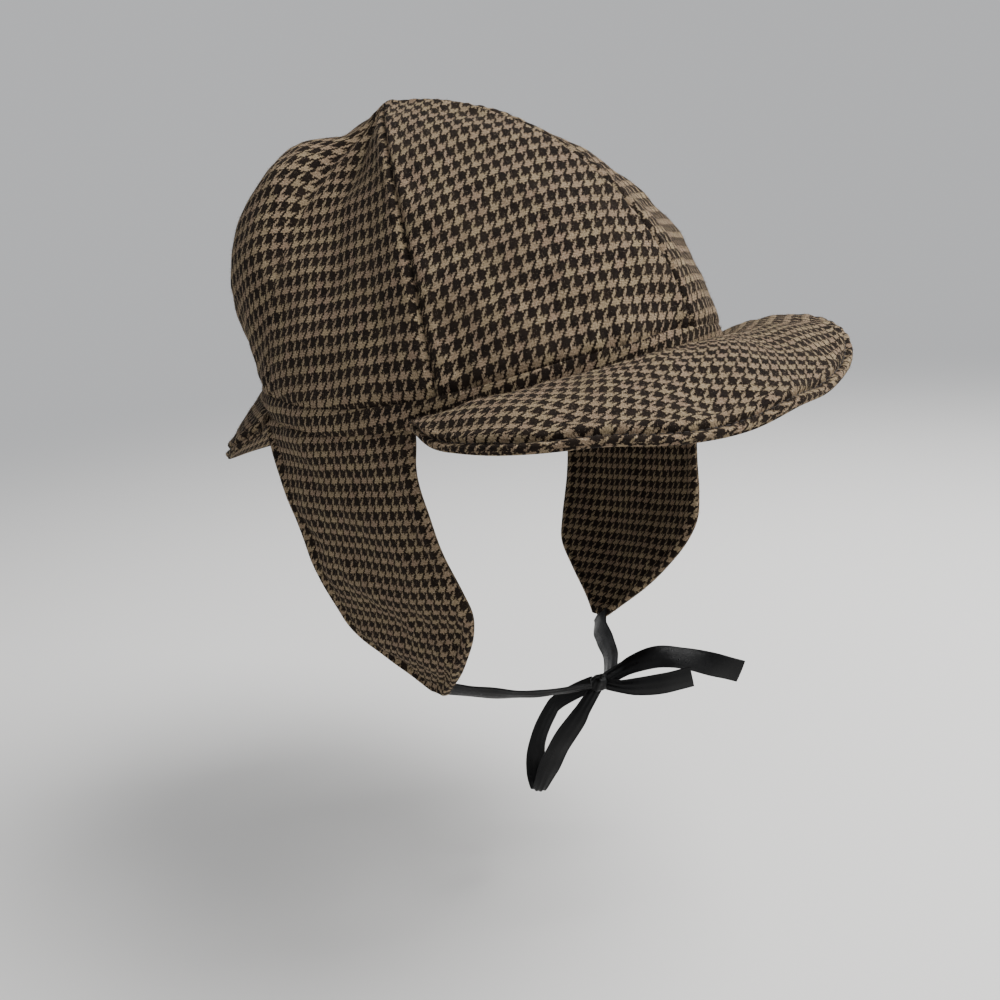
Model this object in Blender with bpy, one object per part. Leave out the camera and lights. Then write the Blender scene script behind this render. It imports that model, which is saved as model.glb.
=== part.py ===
"""A deerstalker hat in houndstooth tweed, in the form it has when it is worn.

Six gores meet at a soft point and are sewn to a narrow band. A padded peak stands out in
front and another behind, and two ear flaps hang at the sides, tied under the chin with ribbon.
The origin is the centre of the head opening. The front faces -Y and the wearer's right is -X.
A bearing is an angle round the band, in degrees from the front, positive to the wearer's left.
"""
from collections import namedtuple

import bmesh
import bpy
import numpy as np

# Band: outside sizes, and how much higher its lower edge runs at the front and at the back
BAND_LENGTH = 0.204
BAND_WIDTH = 0.182
BAND_HEIGHT = 0.010
FRONT_ARCH = 0.020
BACK_ARCH = 0.008
BAND_PUFF = 0.0012

# Cloth: tweed with its lining, the doubled cloth of a flap, and the gap at each seam
CLOTH = 0.0024
FLAP_CLOTH = 0.0032
SEAM_GAP = 0.0004

# Crown: the apex where the gores meet, and the bearings of the seams between them. The front seam
# lies a little to one side, as the hat sits. The side seams run down to the peak's ends, and the
# fold seams lie in the two folds.
CROWN_HEIGHT = 0.1245
APEX_BACK = 0.0511
FRONT_SEAM = 4.0
SIDE_SEAM = 58.0
FOLD_SEAM = 112.0
BACK_SEAM = 180.0
SEAM_BOW = 0.0088

# Where the cloth sags beside the apex, and how wide the sag is
SAG_CENTRE = 0.015
SAG_REACH = 0.020
SAG_START = 0.005

# Peaks
FRONT_REACH = 0.048
FRONT_HALF_SPAN = 60.0
FRONT_DROP = 0.016
FRONT_THICKNESS = 0.0075
FRONT_CAMBER = 0.0035
FRONT_TILT = 0.078
BACK_REACH = 0.030
BACK_HALF_SPAN = 60.0
BACK_DROP = 0.040
BACK_THICKNESS = 0.0070
BACK_CAMBER = 0.0008
PEAK_ROOT = 0.0050

# Ear flaps: how far they hang below the band, and how far they draw in towards the jaw
FLAP_DROP = 0.118
FLAP_LENGTH = 0.103
FLAP_DRAW_IN = 0.0374
FLAP_DRAW_POWER = 2.2
FLAP_FLATNESS = 0.32
FLAP_FLAT_DEPTH = 0.0236
FLAP_EDGE = 0.35
FLAP_GAP = 0.0006

# Ribbon: the knot's place under the chin, and the bow's direction and hang
RIBBON_WIDTH = 0.010
RIBBON_THICKNESS = 0.0010
KNOT_FORWARD = 0.0545
KNOT_DROP = 0.122
KNOT_SIZE = 0.0085
KNOT_GAP = 0.0012
LOOP_LENGTH = 0.055
LONG_TAIL = 0.065
SHORT_TAIL = 0.042
BOW_BEARING = 45.0
HANG_TILT = 9.0

# Fineness of the faceted walls
CLIMB_STEPS = 20
PEAK_STEPS = 33
FLAP_ROWS = 17
FLAP_COLUMNS = 12
TIE_STEPS = 13

# The gores end this share of their reach short of the apex, which leaves a pinhole there
PINHOLE = 0.010

# A meridian of the crown. Fullness 1 is a straight slope and 2 a round one, overhang is how far
# it swells past the band as a share of its run, and sag is a share of the crown's height.
Meridian = namedtuple("Meridian", "bearing fullness overhang sag")
CROWN = (
    Meridian(-180, 2.13, 0.235, 0.040),
    Meridian(-150, 2.34, 0.290, 0.095),
    Meridian(-113, 1.65, 0.000, 0.045),
    Meridian(-85, 1.18, 0.016, 0.000),
    Meridian(-58, 1.60, -0.045, 0.000),
    Meridian(-30, 1.67, -0.045, 0.000),
    Meridian(4, 1.86, -0.020, 0.000),
    Meridian(30, 1.69, -0.021, 0.000),
    Meridian(58, 1.95, 0.029, 0.000),
    Meridian(85, 1.23, 0.000, 0.000),
    Meridian(113, 1.79, 0.000, 0.045),
    Meridian(150, 2.34, 0.290, 0.095),
    Meridian(180, 2.13, 0.235, 0.040),
)

# A fold in the crown runs from its low end to its high end. Climb is 0 at the band and 1 at the
# apex. Its widths towards the front and the back and its depth are shares of the crown's height.
# Low on the crown a fold presses mostly inwards, and near the top inwards and down alike.
FOLD_LOW = 0.25
Fold = namedtuple("Fold", "low_bearing low_climb high_bearing high_climb front back depth")
CROWN_FOLDS = (
    Fold(-113, 0.30, -112, 0.95, 0.16, 0.07, 0.053),
    Fold(113, 0.30, 112, 0.95, 0.16, 0.08, 0.045),
    Fold(-70, 0.15, -68, 0.90, 0.07, 0.07, 0.012),
)

# Half the outline of a peak, from its middle to its end. Root is a share of the half span, side
# and ahead are shares of the reach, and drop is a share of how far the rim lies below the root.
Rim = namedtuple("Rim", "root side ahead drop")
FRONT_RIM = (
    Rim(0.00, 0.00, 1.00, 1.00),
    Rim(0.20, 0.15, 0.98, 1.05),
    Rim(0.40, 0.33, 0.98, 0.73),
    Rim(0.60, 0.44, 0.92, 0.24),
    Rim(0.75, 0.53, 0.81, 0.00),
    Rim(0.87, 0.48, 0.63, -0.12),
    Rim(0.94, 0.35, 0.46, -0.12),
    Rim(0.98, 0.22, 0.28, -0.05),
    Rim(1.00, 0.09, 0.09, 0.00),
)
BACK_RIM = (
    Rim(0.00, 0.00, 1.00, 1.00),
    Rim(0.25, 0.08, 1.00, 0.97),
    Rim(0.50, 0.22, 0.93, 0.88),
    Rim(0.70, 0.36, 0.78, 0.76),
    Rim(0.85, 0.38, 0.58, 0.60),
    Rim(0.95, 0.28, 0.36, 0.42),
    Rim(1.00, 0.10, 0.14, 0.25),
)

# Levels of an ear flap from the band to its tip. Depth is a share of the flap's drop, and front
# and back are shares of its length, measured from the middle of the hat.
Level = namedtuple("Level", "depth front back")
FLAP_LEVELS = (
    Level(0.000, -0.437, 0.520),
    Level(0.120, -0.445, 0.405),
    Level(0.240, -0.478, 0.320),
    Level(0.380, -0.503, 0.296),
    Level(0.510, -0.540, 0.282),
    Level(0.590, -0.550, 0.277),
    Level(0.670, -0.515, 0.268),
    Level(0.770, -0.430, 0.236),
    Level(0.860, -0.335, 0.130),
    Level(0.955, -0.210, -0.010),
    Level(1.000, -0.150, -0.070),
)

# The course of a ribbon of the bow. At runs from 0 to 1 along it. Across, rise and out are
# shares of its length from the knot: across to the wearer's front left, upwards, and out towards
# the right. Turn and lean are the angles of its width from across towards rise and out.
Bend = namedtuple("Bend", "at across rise out turn lean width")
LOOP_BENDS = (
    Bend(0.00, -0.09, -0.12, 0.05, -20, 25, 0.45),
    Bend(0.12, -0.16, -0.26, 0.08, -28, 15, 0.80),
    Bend(0.27, -0.28, -0.48, 0.09, -35, 0, 0.95),
    Bend(0.40, -0.37, -0.74, 0.07, -15, 0, 0.90),
    Bend(0.49, -0.43, -0.96, 0.03, -10, 0, 0.60),
    Bend(0.52, -0.44, -0.98, -0.02, -10, 0, 0.60),
    Bend(0.60, -0.46, -0.84, -0.07, -15, 0, 0.85),
    Bend(0.75, -0.44, -0.54, -0.10, -25, 45, 0.85),
    Bend(1.00, -0.28, -0.14, -0.13, -35, 60, 0.70),
)
LONG_BENDS = (
    Bend(0.00, 0.11, 0.03, -0.05, 75, -35, 0.50),
    Bend(0.20, 0.22, 0.09, -0.06, 80, -45, 0.80),
    Bend(0.40, 0.38, 0.13, -0.06, 95, -40, 0.95),
    Bend(0.60, 0.56, 0.11, -0.05, 85, -50, 0.95),
    Bend(0.80, 0.75, 0.05, -0.04, 80, -20, 1.00),
    Bend(1.00, 0.94, -0.02, -0.04, 70, 0, 1.00),
)
SHORT_BENDS = (
    Bend(0.00, 0.15, -0.03, 0.05, 85, -20, 0.45),
    Bend(0.30, 0.36, -0.02, 0.10, 90, -20, 0.75),
    Bend(0.65, 0.64, 0.00, 0.11, 90, -10, 0.90),
    Bend(1.00, 0.92, 0.05, 0.10, 90, 0, 0.95),
)

# A tie from a flap's tip to the knot. Ahead and sink are shares of its length off a straight
# line, and lean is the angle of its width from upright towards the front.
Course = namedtuple("Course", "at ahead sink lean width")
TIE_COURSE = (
    Course(0.00, 0.00, 0.00, 35, 0.95),
    Course(0.25, 0.05, 0.02, 40, 0.90),
    Course(0.50, 0.08, 0.03, 45, 0.80),
    Course(0.75, 0.05, 0.02, 45, 0.75),
    Course(1.00, 0.00, 0.00, 42, 0.50),
)


def between(rows, key, column, place):
    """A smooth value of one column at a place along the key column."""
    x = np.array([getattr(row, key) for row in rows], float)
    y = np.array([getattr(row, column) for row in rows], float)
    slope = np.diff(y) / np.diff(x)
    turn = np.concatenate([slope[:1], (slope[1:] + slope[:-1]) / 2, slope[-1:]])
    place = np.clip(place, x[0], x[-1])
    i = np.clip(np.searchsorted(x, place, side="right") - 1, 0, len(slope) - 1)
    step = x[i + 1] - x[i]
    t = (place - x[i]) / step
    rise = y[i] + t * t * (3 - 2 * t) * (y[i + 1] - y[i])
    return rise + step * t * (1 - t) * ((1 - t) * turn[i] - t * turn[i + 1])


def ease(t):
    t = np.clip(t, 0.0, 1.0)
    return t * t * (3 - 2 * t)


def unit(v):
    return v / np.linalg.norm(v, axis=-1, keepdims=True)


def band_floor(bearing):
    """Height of the band's lower edge."""
    ahead = np.cos(np.radians(bearing))
    return np.where(ahead > 0, FRONT_ARCH, BACK_ARCH) * ahead**2


def band_point(bearing, height, out=0.0):
    """A point on the band's outside, at a height above its lower edge and moved out from it."""
    a = np.radians(bearing)
    side, ahead = np.sin(a), -np.cos(a)
    x = BAND_WIDTH / 2 * side
    y = BAND_LENGTH / 2 * ahead
    normal = unit(np.stack([side / BAND_WIDTH, ahead / BAND_LENGTH], -1))
    z = band_floor(bearing) + height
    return np.stack([x + out * normal[..., 0], y + out * normal[..., 1], z + 0 * x], -1)


def crown_shape(bearing):
    """Fullness, overhang and sag of the meridian at a bearing."""
    turned = (np.asarray(bearing, float) + 180) % 360 - 180
    columns = ("fullness", "overhang", "sag")
    return [between(CROWN, "bearing", column, turned) for column in columns]


def crown_point(bearing, climb):
    """A point on the outside of the crown, with its folds."""
    fullness, overhang, sag = crown_shape(bearing)
    angle = np.clip(climb, 0, 1) * np.pi / 2
    run = np.cos(angle) ** (2 / fullness)
    rise = np.sin(angle) ** (2 / fullness)
    run = run + overhang * np.sin(np.pi * rise ** 0.9)
    foot = band_point(bearing, BAND_HEIGHT + SEAM_GAP)
    x = foot[..., 0] * run
    y = APEX_BACK + (foot[..., 1] - APEX_BACK) * run
    z = foot[..., 2] + (CROWN_HEIGHT - foot[..., 2]) * rise
    y = y + SEAM_BOW * np.sin(np.pi * np.clip(run, 0, 1)) * np.sin(np.radians(bearing)) ** 2
    away = np.hypot(x, y - APEX_BACK)
    dip = np.exp(-(((away - SAG_CENTRE) / SAG_REACH) ** 2)) * away / (away + SAG_START)
    z = z - sag * CROWN_HEIGHT * dip
    for fold in CROWN_FOLDS:
        x, y, z = folded(x, y, z, bearing, climb, fold)
    return np.stack([x, y, z], -1)


def folded(x, y, z, bearing, climb, fold):
    """Press one fold into points of the crown, square to the slope from apex to band."""
    along = (climb - fold.low_climb) / (fold.high_climb - fold.low_climb)
    centre = fold.low_bearing + (fold.high_bearing - fold.low_bearing) * np.clip(along, 0, 1)
    turned = (bearing - centre + 180) % 360 - 180
    away = np.hypot(x, y - APEX_BACK)
    across = np.radians(turned) * away * -np.sign(fold.low_bearing)
    inside = (along > 0) & (along < 1)
    strength = np.where(inside, np.sin(np.pi * np.clip(along, 0, 1)) ** 0.8, 0.0)
    width = np.where(across > 0, fold.front, fold.back) * CROWN_HEIGHT
    press = fold.depth * CROWN_HEIGHT * strength * np.exp(-((across / width) ** 2))
    out_x, out_y = x, y - APEX_BACK
    spread = np.hypot(out_x, out_y) + FOLD_LOW * CROWN_HEIGHT
    upward = FOLD_LOW + (1 - FOLD_LOW) * np.clip(z / CROWN_HEIGHT, 0, 1) ** 2
    x = x - press * out_x / spread
    y = y - press * out_y / spread
    return x, y, z - press * upward


def last_climb(bearing):
    """The climb at which a meridian reaches the pinhole at the apex."""
    fullness = crown_shape(bearing)[0]
    return np.arccos(PINHOLE ** (fullness / 2)) / (np.pi / 2)


def crown_meridian(bearing, side):
    """Outer and inner points of one meridian, moved off a seam to the given side."""
    climb = np.linspace(0, 1, CLIMB_STEPS + 1) ** 0.9 * last_climb(bearing)
    turned = np.full_like(climb, bearing)
    outer = crown_point(turned, climb)
    around = crown_point(turned + 1.5, climb) - crown_point(turned - 1.5, climb)
    upward = crown_point(turned, climb + 0.01) - crown_point(turned, climb - 0.01)
    normal = unit(np.cross(around, upward))
    rooted = ease((outer[:, 2] - outer[0, 2]) / (3 * CLOTH))
    normal[:, 2] *= rooted
    run = np.hypot(outer[:, 0], outer[:, 1] - APEX_BACK)
    level = ease(run / (0.12 * CROWN_HEIGHT))[:, None]
    normal = unit(normal * level + np.array([0.0, 0.0, 1.0]) * (1 - level))
    a = np.radians(bearing)
    sideways = np.array([np.cos(a), np.sin(a), 0.0])
    outer = outer + sideways * side * SEAM_GAP / 2
    return outer, outer - normal * CLOTH


def loft(name, sections, material):
    """A closed body through like-sized closed sections, capped at both ends."""
    mesh = bmesh.new()
    rings = [[mesh.verts.new(p) for p in ring] for ring in sections]
    count = len(rings[0])
    for ring, following in zip(rings, rings[1:]):
        for i in range(count):
            j = (i + 1) % count
            mesh.faces.new((ring[i], ring[j], following[j], following[i]))
    for ring in (rings[0], rings[-1]):
        for i in range((count - 1) // 2):
            j = count - 1 - i
            corners = (ring[i], ring[i + 1], ring[j - 1], ring[j])
            mesh.faces.new(corners if j - 1 > i + 1 else corners[:2] + corners[3:])
    return finish(name, mesh, material)


def hoop(name, sections, material):
    """A closed ring through like-sized closed sections, the last one joined to the first."""
    mesh = bmesh.new()
    rings = [[mesh.verts.new(p) for p in ring] for ring in sections]
    count = len(rings[0])
    for ring, following in zip(rings, rings[1:] + rings[:1]):
        for i in range(count):
            j = (i + 1) % count
            mesh.faces.new((ring[i], ring[j], following[j], following[i]))
    return finish(name, mesh, material)


def finish(name, mesh, material):
    """Make the object, with its faces outward and its soft turns shaded smooth."""
    bmesh.ops.recalc_face_normals(mesh, faces=mesh.faces)
    if mesh.calc_volume(signed=True) < 0:
        bmesh.ops.reverse_faces(mesh, faces=mesh.faces)
    data = bpy.data.meshes.new(name)
    mesh.to_mesh(data)
    mesh.free()
    data.shade_smooth()
    data.set_sharp_from_angle(angle=np.radians(50))
    data.materials.append(material)
    thing = bpy.data.objects.new(name, data)
    collection.objects.link(thing)
    return thing


def plain_material(name, colour, roughness):
    made = bpy.data.materials.new(name)
    made.use_nodes = True
    shader = made.node_tree.nodes["Principled BSDF"]
    shader.inputs["Base Color"].default_value = (*colour, 1.0)
    shader.inputs["Roughness"].default_value = roughness
    shader.inputs["Metallic"].default_value = 0.0
    return made


def make_gore(name, start, end, count, material):
    """One gore of the crown between two seams, a wall of even thickness."""
    sections = []
    for i, bearing in enumerate(np.linspace(start, end, count)):
        side = 1 if i == 0 else -1 if i == count - 1 else 0
        outer, inner = crown_meridian(bearing, side)
        sections.append(np.concatenate([outer, inner[::-1]]))
    return loft(name, sections, material)


def make_band(material):
    """The narrow headband, a soft strip that stands a little proud at its middle."""
    heights = np.array([0.0, 0.25, 0.6, 1.0]) * BAND_HEIGHT
    puff = np.array([0.0, 1.0, 0.8, 0.0]) * BAND_PUFF
    sections = []
    for bearing in np.arange(0, 360, 6.0):
        outer = [band_point(bearing, z, out) for z, out in zip(heights, puff)]
        inner = [band_point(bearing, z, -CLOTH) for z in (heights[-1], heights[0])]
        sections.append(np.array(outer + inner))
    return hoop("band", sections, material)


def peak_section(root, rim, thickness, camber):
    """A padded section from the band out to a round rim."""
    half = thickness / 2
    share = np.array([0.0, 0.18, 0.42, 0.68, 0.88, 0.97, 1.0])
    fill = np.array([PEAK_ROOT / thickness, 0.92, 1.0, 1.0, 0.82, 0.45, 0.0])
    line = root + share[:, None] * (rim - root)
    line[:, 2] += camber * 4 * share * (1 - share)
    top = line + np.array([0, 0, 1.0]) * (fill * half)[:, None]
    under = line - np.array([0, 0, 1.0]) * (fill * half)[:, None]
    return np.concatenate([top, under[-2::-1]])


def peak_sections(middle, half_span, reach, drop, thickness, camber, tilt, rows):
    """The sections of a peak that stands out from the band about a middle bearing."""
    a = np.radians(middle)
    ahead = np.array([np.sin(a), -np.cos(a), 0.0])
    across = np.array([np.cos(a), np.sin(a), 0.0])
    sections = []
    for share in np.sin(np.linspace(-np.pi / 2, np.pi / 2, PEAK_STEPS)):
        size = abs(share)
        root = band_point(middle + share * half_span, PEAK_ROOT / 2, BAND_PUFF + SEAM_GAP)
        side = between(rows, "root", "side", size) * reach * np.sign(share)
        out = between(rows, "root", "ahead", size) * reach
        rim = root + across * side + ahead * out
        free = ease(2 * out / reach)
        rim[2] = root[2] - between(rows, "root", "drop", size) * drop + tilt * free * rim[0]
        sections.append(peak_section(root, rim, thickness, camber * free))
    return sections


def flap_surface(y, drop):
    """How far out an ear flap lies at a place along the hat and a depth below the band."""
    sink = max(drop / FLAP_DROP, 0.0) ** FLAP_DRAW_POWER
    wide = BAND_WIDTH / 2 - FLAP_DRAW_IN * sink
    flat = ease(drop / FLAP_FLAT_DEPTH)
    long = BAND_LENGTH / 2 * (1 + FLAP_FLATNESS * flat)
    return wide * np.sqrt(np.clip(1 - (y / long) ** 2, 0.05, 1))


def flap_top(y):
    """Height of the band's lower edge above a place along the hat's side."""
    return np.where(y < 0, FRONT_ARCH, BACK_ARCH) * (y / (BAND_LENGTH / 2)) ** 2


def flap_sections(side):
    """The sections of an ear flap of doubled cloth, hung from the band's lower edge."""
    sections = []
    for depth in np.sin(np.linspace(0, np.pi / 2, FLAP_ROWS)):
        front = between(FLAP_LEVELS, "depth", "front", depth) * FLAP_LENGTH
        back = between(FLAP_LEVELS, "depth", "back", depth) * FLAP_LENGTH
        outer, inner = [], []
        for share in np.linspace(0, 1, FLAP_COLUMNS):
            y = front + (back - front) * share
            z = (flap_top(y) - FLAP_GAP) * (1 - depth) - depth * FLAP_DROP
            out = flap_surface(y, -z)
            edge = FLAP_EDGE + (1 - FLAP_EDGE) * np.sqrt(np.clip(1 - (2 * share - 1) ** 6, 0, 1))
            outer.append((side * (out - FLAP_CLOTH * (1 - edge) / 2), y, z))
            inner.append((side * (out - FLAP_CLOTH * (1 + edge) / 2), y, z))
        sections.append(np.array(outer + inner[::-1]))
    return sections


def ribbon(name, path, widths, material):
    """A flat ribbon along a path, with its half width given as a vector at each point."""
    sections = []
    last = len(path) - 1
    for i, p in enumerate(path):
        ahead = unit(path[min(i + 1, last)] - path[max(i - 1, 0)])
        size = np.linalg.norm(widths[i])
        half = unit(widths[i] - ahead * np.dot(widths[i], ahead)) * size
        thin = unit(np.cross(half, ahead)) * RIBBON_THICKNESS / 2
        ring = [p - half + thin, p + half + thin, p + half - thin, p - half - thin]
        sections.append(np.array(ring))
    return loft(name, sections, material)


def make_bow_ribbon(name, length, bends, count, material):
    """One loop or tail of the bow, from its bends."""
    a = np.radians(BOW_BEARING)
    tilt = np.radians(HANG_TILT)
    across = np.array([np.cos(a), -np.sin(a), 0.0])
    rise = np.array([0.0, -np.sin(tilt), np.cos(tilt)])
    out = unit(np.cross(across, rise))
    path, widths = [], []
    for at in np.linspace(0, 1, count):
        row = {c: float(between(bends, "at", c, at)) for c in Bend._fields}
        turn, lean = np.radians(row["turn"]), np.radians(row["lean"])
        place = across * row["across"] + rise * row["rise"] + out * row["out"]
        path.append(knot + place * length)
        wide = (across * np.cos(turn) + rise * np.sin(turn)) * np.cos(lean) + out * np.sin(lean)
        widths.append(wide * RIBBON_WIDTH / 2 * row["width"])
    return ribbon(name, np.array(path), widths, material)


def make_tie(name, side, material):
    """The ribbon from inside the tip of an ear flap to the knot."""
    y = FLAP_LENGTH * (FLAP_LEVELS[-1].front + FLAP_LEVELS[-1].back) / 2
    tip_x = flap_surface(y, FLAP_DROP) - FLAP_CLOTH - RIBBON_THICKNESS * 2
    start = np.array([side * tip_x, y, -FLAP_DROP - RIBBON_WIDTH / 10])
    end = knot + np.array([side * (KNOT_SIZE / 2 + KNOT_GAP), 0.0, 0.0])
    length = np.linalg.norm(end - start)
    path, widths = [], []
    for at in np.linspace(0, 1, TIE_STEPS):
        row = {c: float(between(TIE_COURSE, "at", c, at)) for c in Course._fields}
        off = np.array([0.0, -row["ahead"], -row["sink"]]) * length
        lean = np.radians(row["lean"])
        path.append(start + (end - start) * at + off)
        wide = np.array([side * 0.5 * np.sin(lean), -np.sin(lean), np.cos(lean)])
        widths.append(wide * RIBBON_WIDTH / 2 * row["width"])
    return ribbon(name, np.array(path), widths, material)


def make_knot(material):
    """The small hard knot under the chin."""
    mesh = bmesh.new()
    bmesh.ops.create_uvsphere(mesh, u_segments=14, v_segments=8, radius=KNOT_SIZE / 2)
    bmesh.ops.scale(mesh, vec=(1.0, 0.75, 0.85), verts=mesh.verts)
    bmesh.ops.translate(mesh, vec=[float(v) for v in knot], verts=mesh.verts)
    return finish("bow_knot", mesh, material)


for old in list(bpy.data.objects):
    bpy.data.objects.remove(old, do_unlink=True)
collection = bpy.data.collections.new("deerstalker_hat")
bpy.context.scene.collection.children.link(collection)

# Each gore's seams, and the number of sections between them
gores = {
    "gore_front_right": (-SIDE_SEAM, FRONT_SEAM, 10),
    "gore_front_left": (FRONT_SEAM, SIDE_SEAM, 9),
    "gore_side_right": (-FOLD_SEAM, -SIDE_SEAM, 9),
    "gore_side_left": (SIDE_SEAM, FOLD_SEAM, 9),
    "gore_back_right": (-BACK_SEAM, -FOLD_SEAM, 11),
    "gore_back_left": (FOLD_SEAM, BACK_SEAM, 11),
}
others = ("band", "front_peak", "back_peak", "ear_flap_right", "ear_flap_left")
tweed = {}
for node in (*gores, *others):
    tweed[node] = plain_material("tweed_" + node, (0.115, 0.078, 0.052), 0.92)
satin = plain_material("satin", (0.008, 0.008, 0.010), 0.35)

for node, (start, end, count) in gores.items():
    make_gore(node, start, end, count, tweed[node])
make_band(tweed["band"])
front = peak_sections(
    0.0, FRONT_HALF_SPAN, FRONT_REACH, FRONT_DROP, FRONT_THICKNESS, FRONT_CAMBER, FRONT_TILT,
    FRONT_RIM,
)
back = peak_sections(
    BACK_SEAM, BACK_HALF_SPAN, BACK_REACH, BACK_DROP, BACK_THICKNESS, BACK_CAMBER, 0.0,
    BACK_RIM,
)
loft("front_peak", front, tweed["front_peak"])
loft("back_peak", back, tweed["back_peak"])
loft("ear_flap_right", flap_sections(-1), tweed["ear_flap_right"])
loft("ear_flap_left", flap_sections(1), tweed["ear_flap_left"])

knot = np.array([0.0, -KNOT_FORWARD, -KNOT_DROP])
make_tie("tie_ribbon_right", -1, satin)
make_tie("tie_ribbon_left", 1, satin)
make_knot(satin)
make_bow_ribbon("bow_loop", LOOP_LENGTH, LOOP_BENDS, 25, satin)
make_bow_ribbon("bow_tail_long", LONG_TAIL, LONG_BENDS, 15, satin)
make_bow_ribbon("bow_tail_short", SHORT_TAIL, SHORT_BENDS, 11, satin)
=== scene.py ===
from collections import namedtuple

import bmesh
import bpy
import numpy as np
from mathutils import Matrix, Vector


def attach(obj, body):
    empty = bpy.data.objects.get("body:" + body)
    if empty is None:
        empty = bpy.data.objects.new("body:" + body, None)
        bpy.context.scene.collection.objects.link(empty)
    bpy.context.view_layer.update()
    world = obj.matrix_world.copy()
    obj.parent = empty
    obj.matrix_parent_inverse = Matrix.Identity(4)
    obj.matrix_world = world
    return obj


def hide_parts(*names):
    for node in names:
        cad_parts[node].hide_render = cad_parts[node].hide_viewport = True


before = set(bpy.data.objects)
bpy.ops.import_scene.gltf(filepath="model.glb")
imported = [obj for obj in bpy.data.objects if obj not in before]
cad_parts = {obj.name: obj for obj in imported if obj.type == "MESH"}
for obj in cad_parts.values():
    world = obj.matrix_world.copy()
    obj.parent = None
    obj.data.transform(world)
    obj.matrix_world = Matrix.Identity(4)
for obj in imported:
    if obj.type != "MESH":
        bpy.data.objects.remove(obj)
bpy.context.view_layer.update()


# Camera. It stands ahead of the wearer's right shoulder and a little above the hat, and looks
# down at it by about 15 degrees.
camera_right = Vector((0.7041, -0.7059, -0.0766))
camera_up = Vector((0.2406, 0.1357, 0.9610))
camera_back = Vector((-0.6680, -0.6951, 0.2654))
camera_data = bpy.data.cameras.new("camera")
camera_data.lens = 37.8
camera_data.sensor_width = 36.0
camera = bpy.data.objects.new("camera", camera_data)
bpy.context.scene.collection.objects.link(camera)
standing = Matrix((camera_right, camera_up, camera_back)).transposed().to_4x4()
standing.translation = camera_right * 0.00501 - camera_up * 0.04646 + camera_back * 0.4555
camera.matrix_world = standing
bpy.context.scene.camera = camera


# Crown. Six gores of brushed houndstooth tweed over a plain dark lining, sewn right sides
# together and turned out, so every seam is a thin line in a shallow groove between two soft
# rolls. They meet at a point, and the cloth slumps into a fold on each side behind it.

# The band's outline and height, how far its lower edge rises ahead and behind, the thickness of
# the tweed with its lining, and the gap between two pieces
BAND_LENGTH = 0.204
BAND_WIDTH = 0.182
BAND_HEIGHT = 0.010
FRONT_ARCH = 0.020
BACK_ARCH = 0.008
CLOTH = 0.0024
SEAM_GAP = 0.0004

# The apex, the seams' bearings in degrees from straight ahead, and how far the side seams bow
CROWN_HEIGHT = 0.1245
APEX_BACK = 0.0511
FRONT_SEAM = 4.0
SIDE_SEAM = 58.0
FOLD_SEAM = 112.0
BACK_SEAM = 180.0
SEAM_BOW = 0.0088

# How far from the apex the cloth sags most, how widely, and from where
SAG_CENTRE = 0.015
SAG_REACH = 0.020
SAG_START = 0.005

# What stays open where the gores meet
PINHOLE = 0.0015

# The crown's outline from the band to the apex, at several bearings
Meridian = namedtuple("Meridian", "bearing fullness overhang sag")
CROWN = (
    Meridian(-180, 2.13, 0.235, 0.040),
    Meridian(-150, 2.34, 0.290, 0.095),
    Meridian(-113, 1.65, 0.000, 0.045),
    Meridian(-85, 1.18, 0.016, 0.000),
    Meridian(-58, 1.60, -0.045, 0.000),
    Meridian(-30, 1.67, -0.045, 0.000),
    Meridian(4, 1.86, -0.020, 0.000),
    Meridian(30, 1.69, -0.021, 0.000),
    Meridian(58, 1.95, 0.029, 0.000),
    Meridian(85, 1.23, 0.000, 0.000),
    Meridian(113, 1.79, 0.000, 0.045),
    Meridian(150, 2.34, 0.290, 0.095),
    Meridian(180, 2.13, 0.235, 0.040),
)

# The folds: where each begins and ends, how widely and how deeply it presses in as shares of
# the crown's height, and how much of that runs down the slope near the band
FOLD_LOW = 0.25
Fold = namedtuple("Fold", "low_bearing low_climb high_bearing high_climb front back depth")
CROWN_FOLDS = (
    Fold(-113, 0.30, -112, 0.95, 0.16, 0.07, 0.053),
    Fold(113, 0.30, 112, 0.95, 0.16, 0.08, 0.045),
    Fold(-70, 0.15, -68, 0.90, 0.055, 0.055, 0.022),
)


def between(rows, key, column, place):
    """A smooth value of one column at a place along the key column."""
    x = np.array([getattr(row, key) for row in rows], float)
    y = np.array([getattr(row, column) for row in rows], float)
    slope = np.diff(y) / np.diff(x)
    turn = np.concatenate([slope[:1], (slope[1:] + slope[:-1]) / 2, slope[-1:]])
    place = np.clip(place, x[0], x[-1])
    i = np.clip(np.searchsorted(x, place, side="right") - 1, 0, len(slope) - 1)
    step = x[i + 1] - x[i]
    t = (place - x[i]) / step
    rise = y[i] + t * t * (3 - 2 * t) * (y[i + 1] - y[i])
    return rise + step * t * (1 - t) * ((1 - t) * turn[i] - t * turn[i + 1])


def ease(t):
    t = np.clip(t, 0.0, 1.0)
    return t * t * (3 - 2 * t)


def unit(v):
    return v / np.linalg.norm(v, axis=-1, keepdims=True)


def band_floor(bearing):
    """Height of the band's lower edge."""
    ahead = np.cos(np.radians(bearing))
    return np.where(ahead > 0, FRONT_ARCH, BACK_ARCH) * ahead**2


def band_point(bearing, height, out=0.0):
    """A point on the band's outside, at a height above its lower edge and moved out from it."""
    a = np.radians(bearing)
    side, ahead = np.sin(a), -np.cos(a)
    x = BAND_WIDTH / 2 * side
    y = BAND_LENGTH / 2 * ahead
    normal = unit(np.stack([side / BAND_WIDTH, ahead / BAND_LENGTH], -1))
    z = band_floor(bearing) + height
    return np.stack([x + out * normal[..., 0], y + out * normal[..., 1], z + 0 * x], -1)


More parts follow.
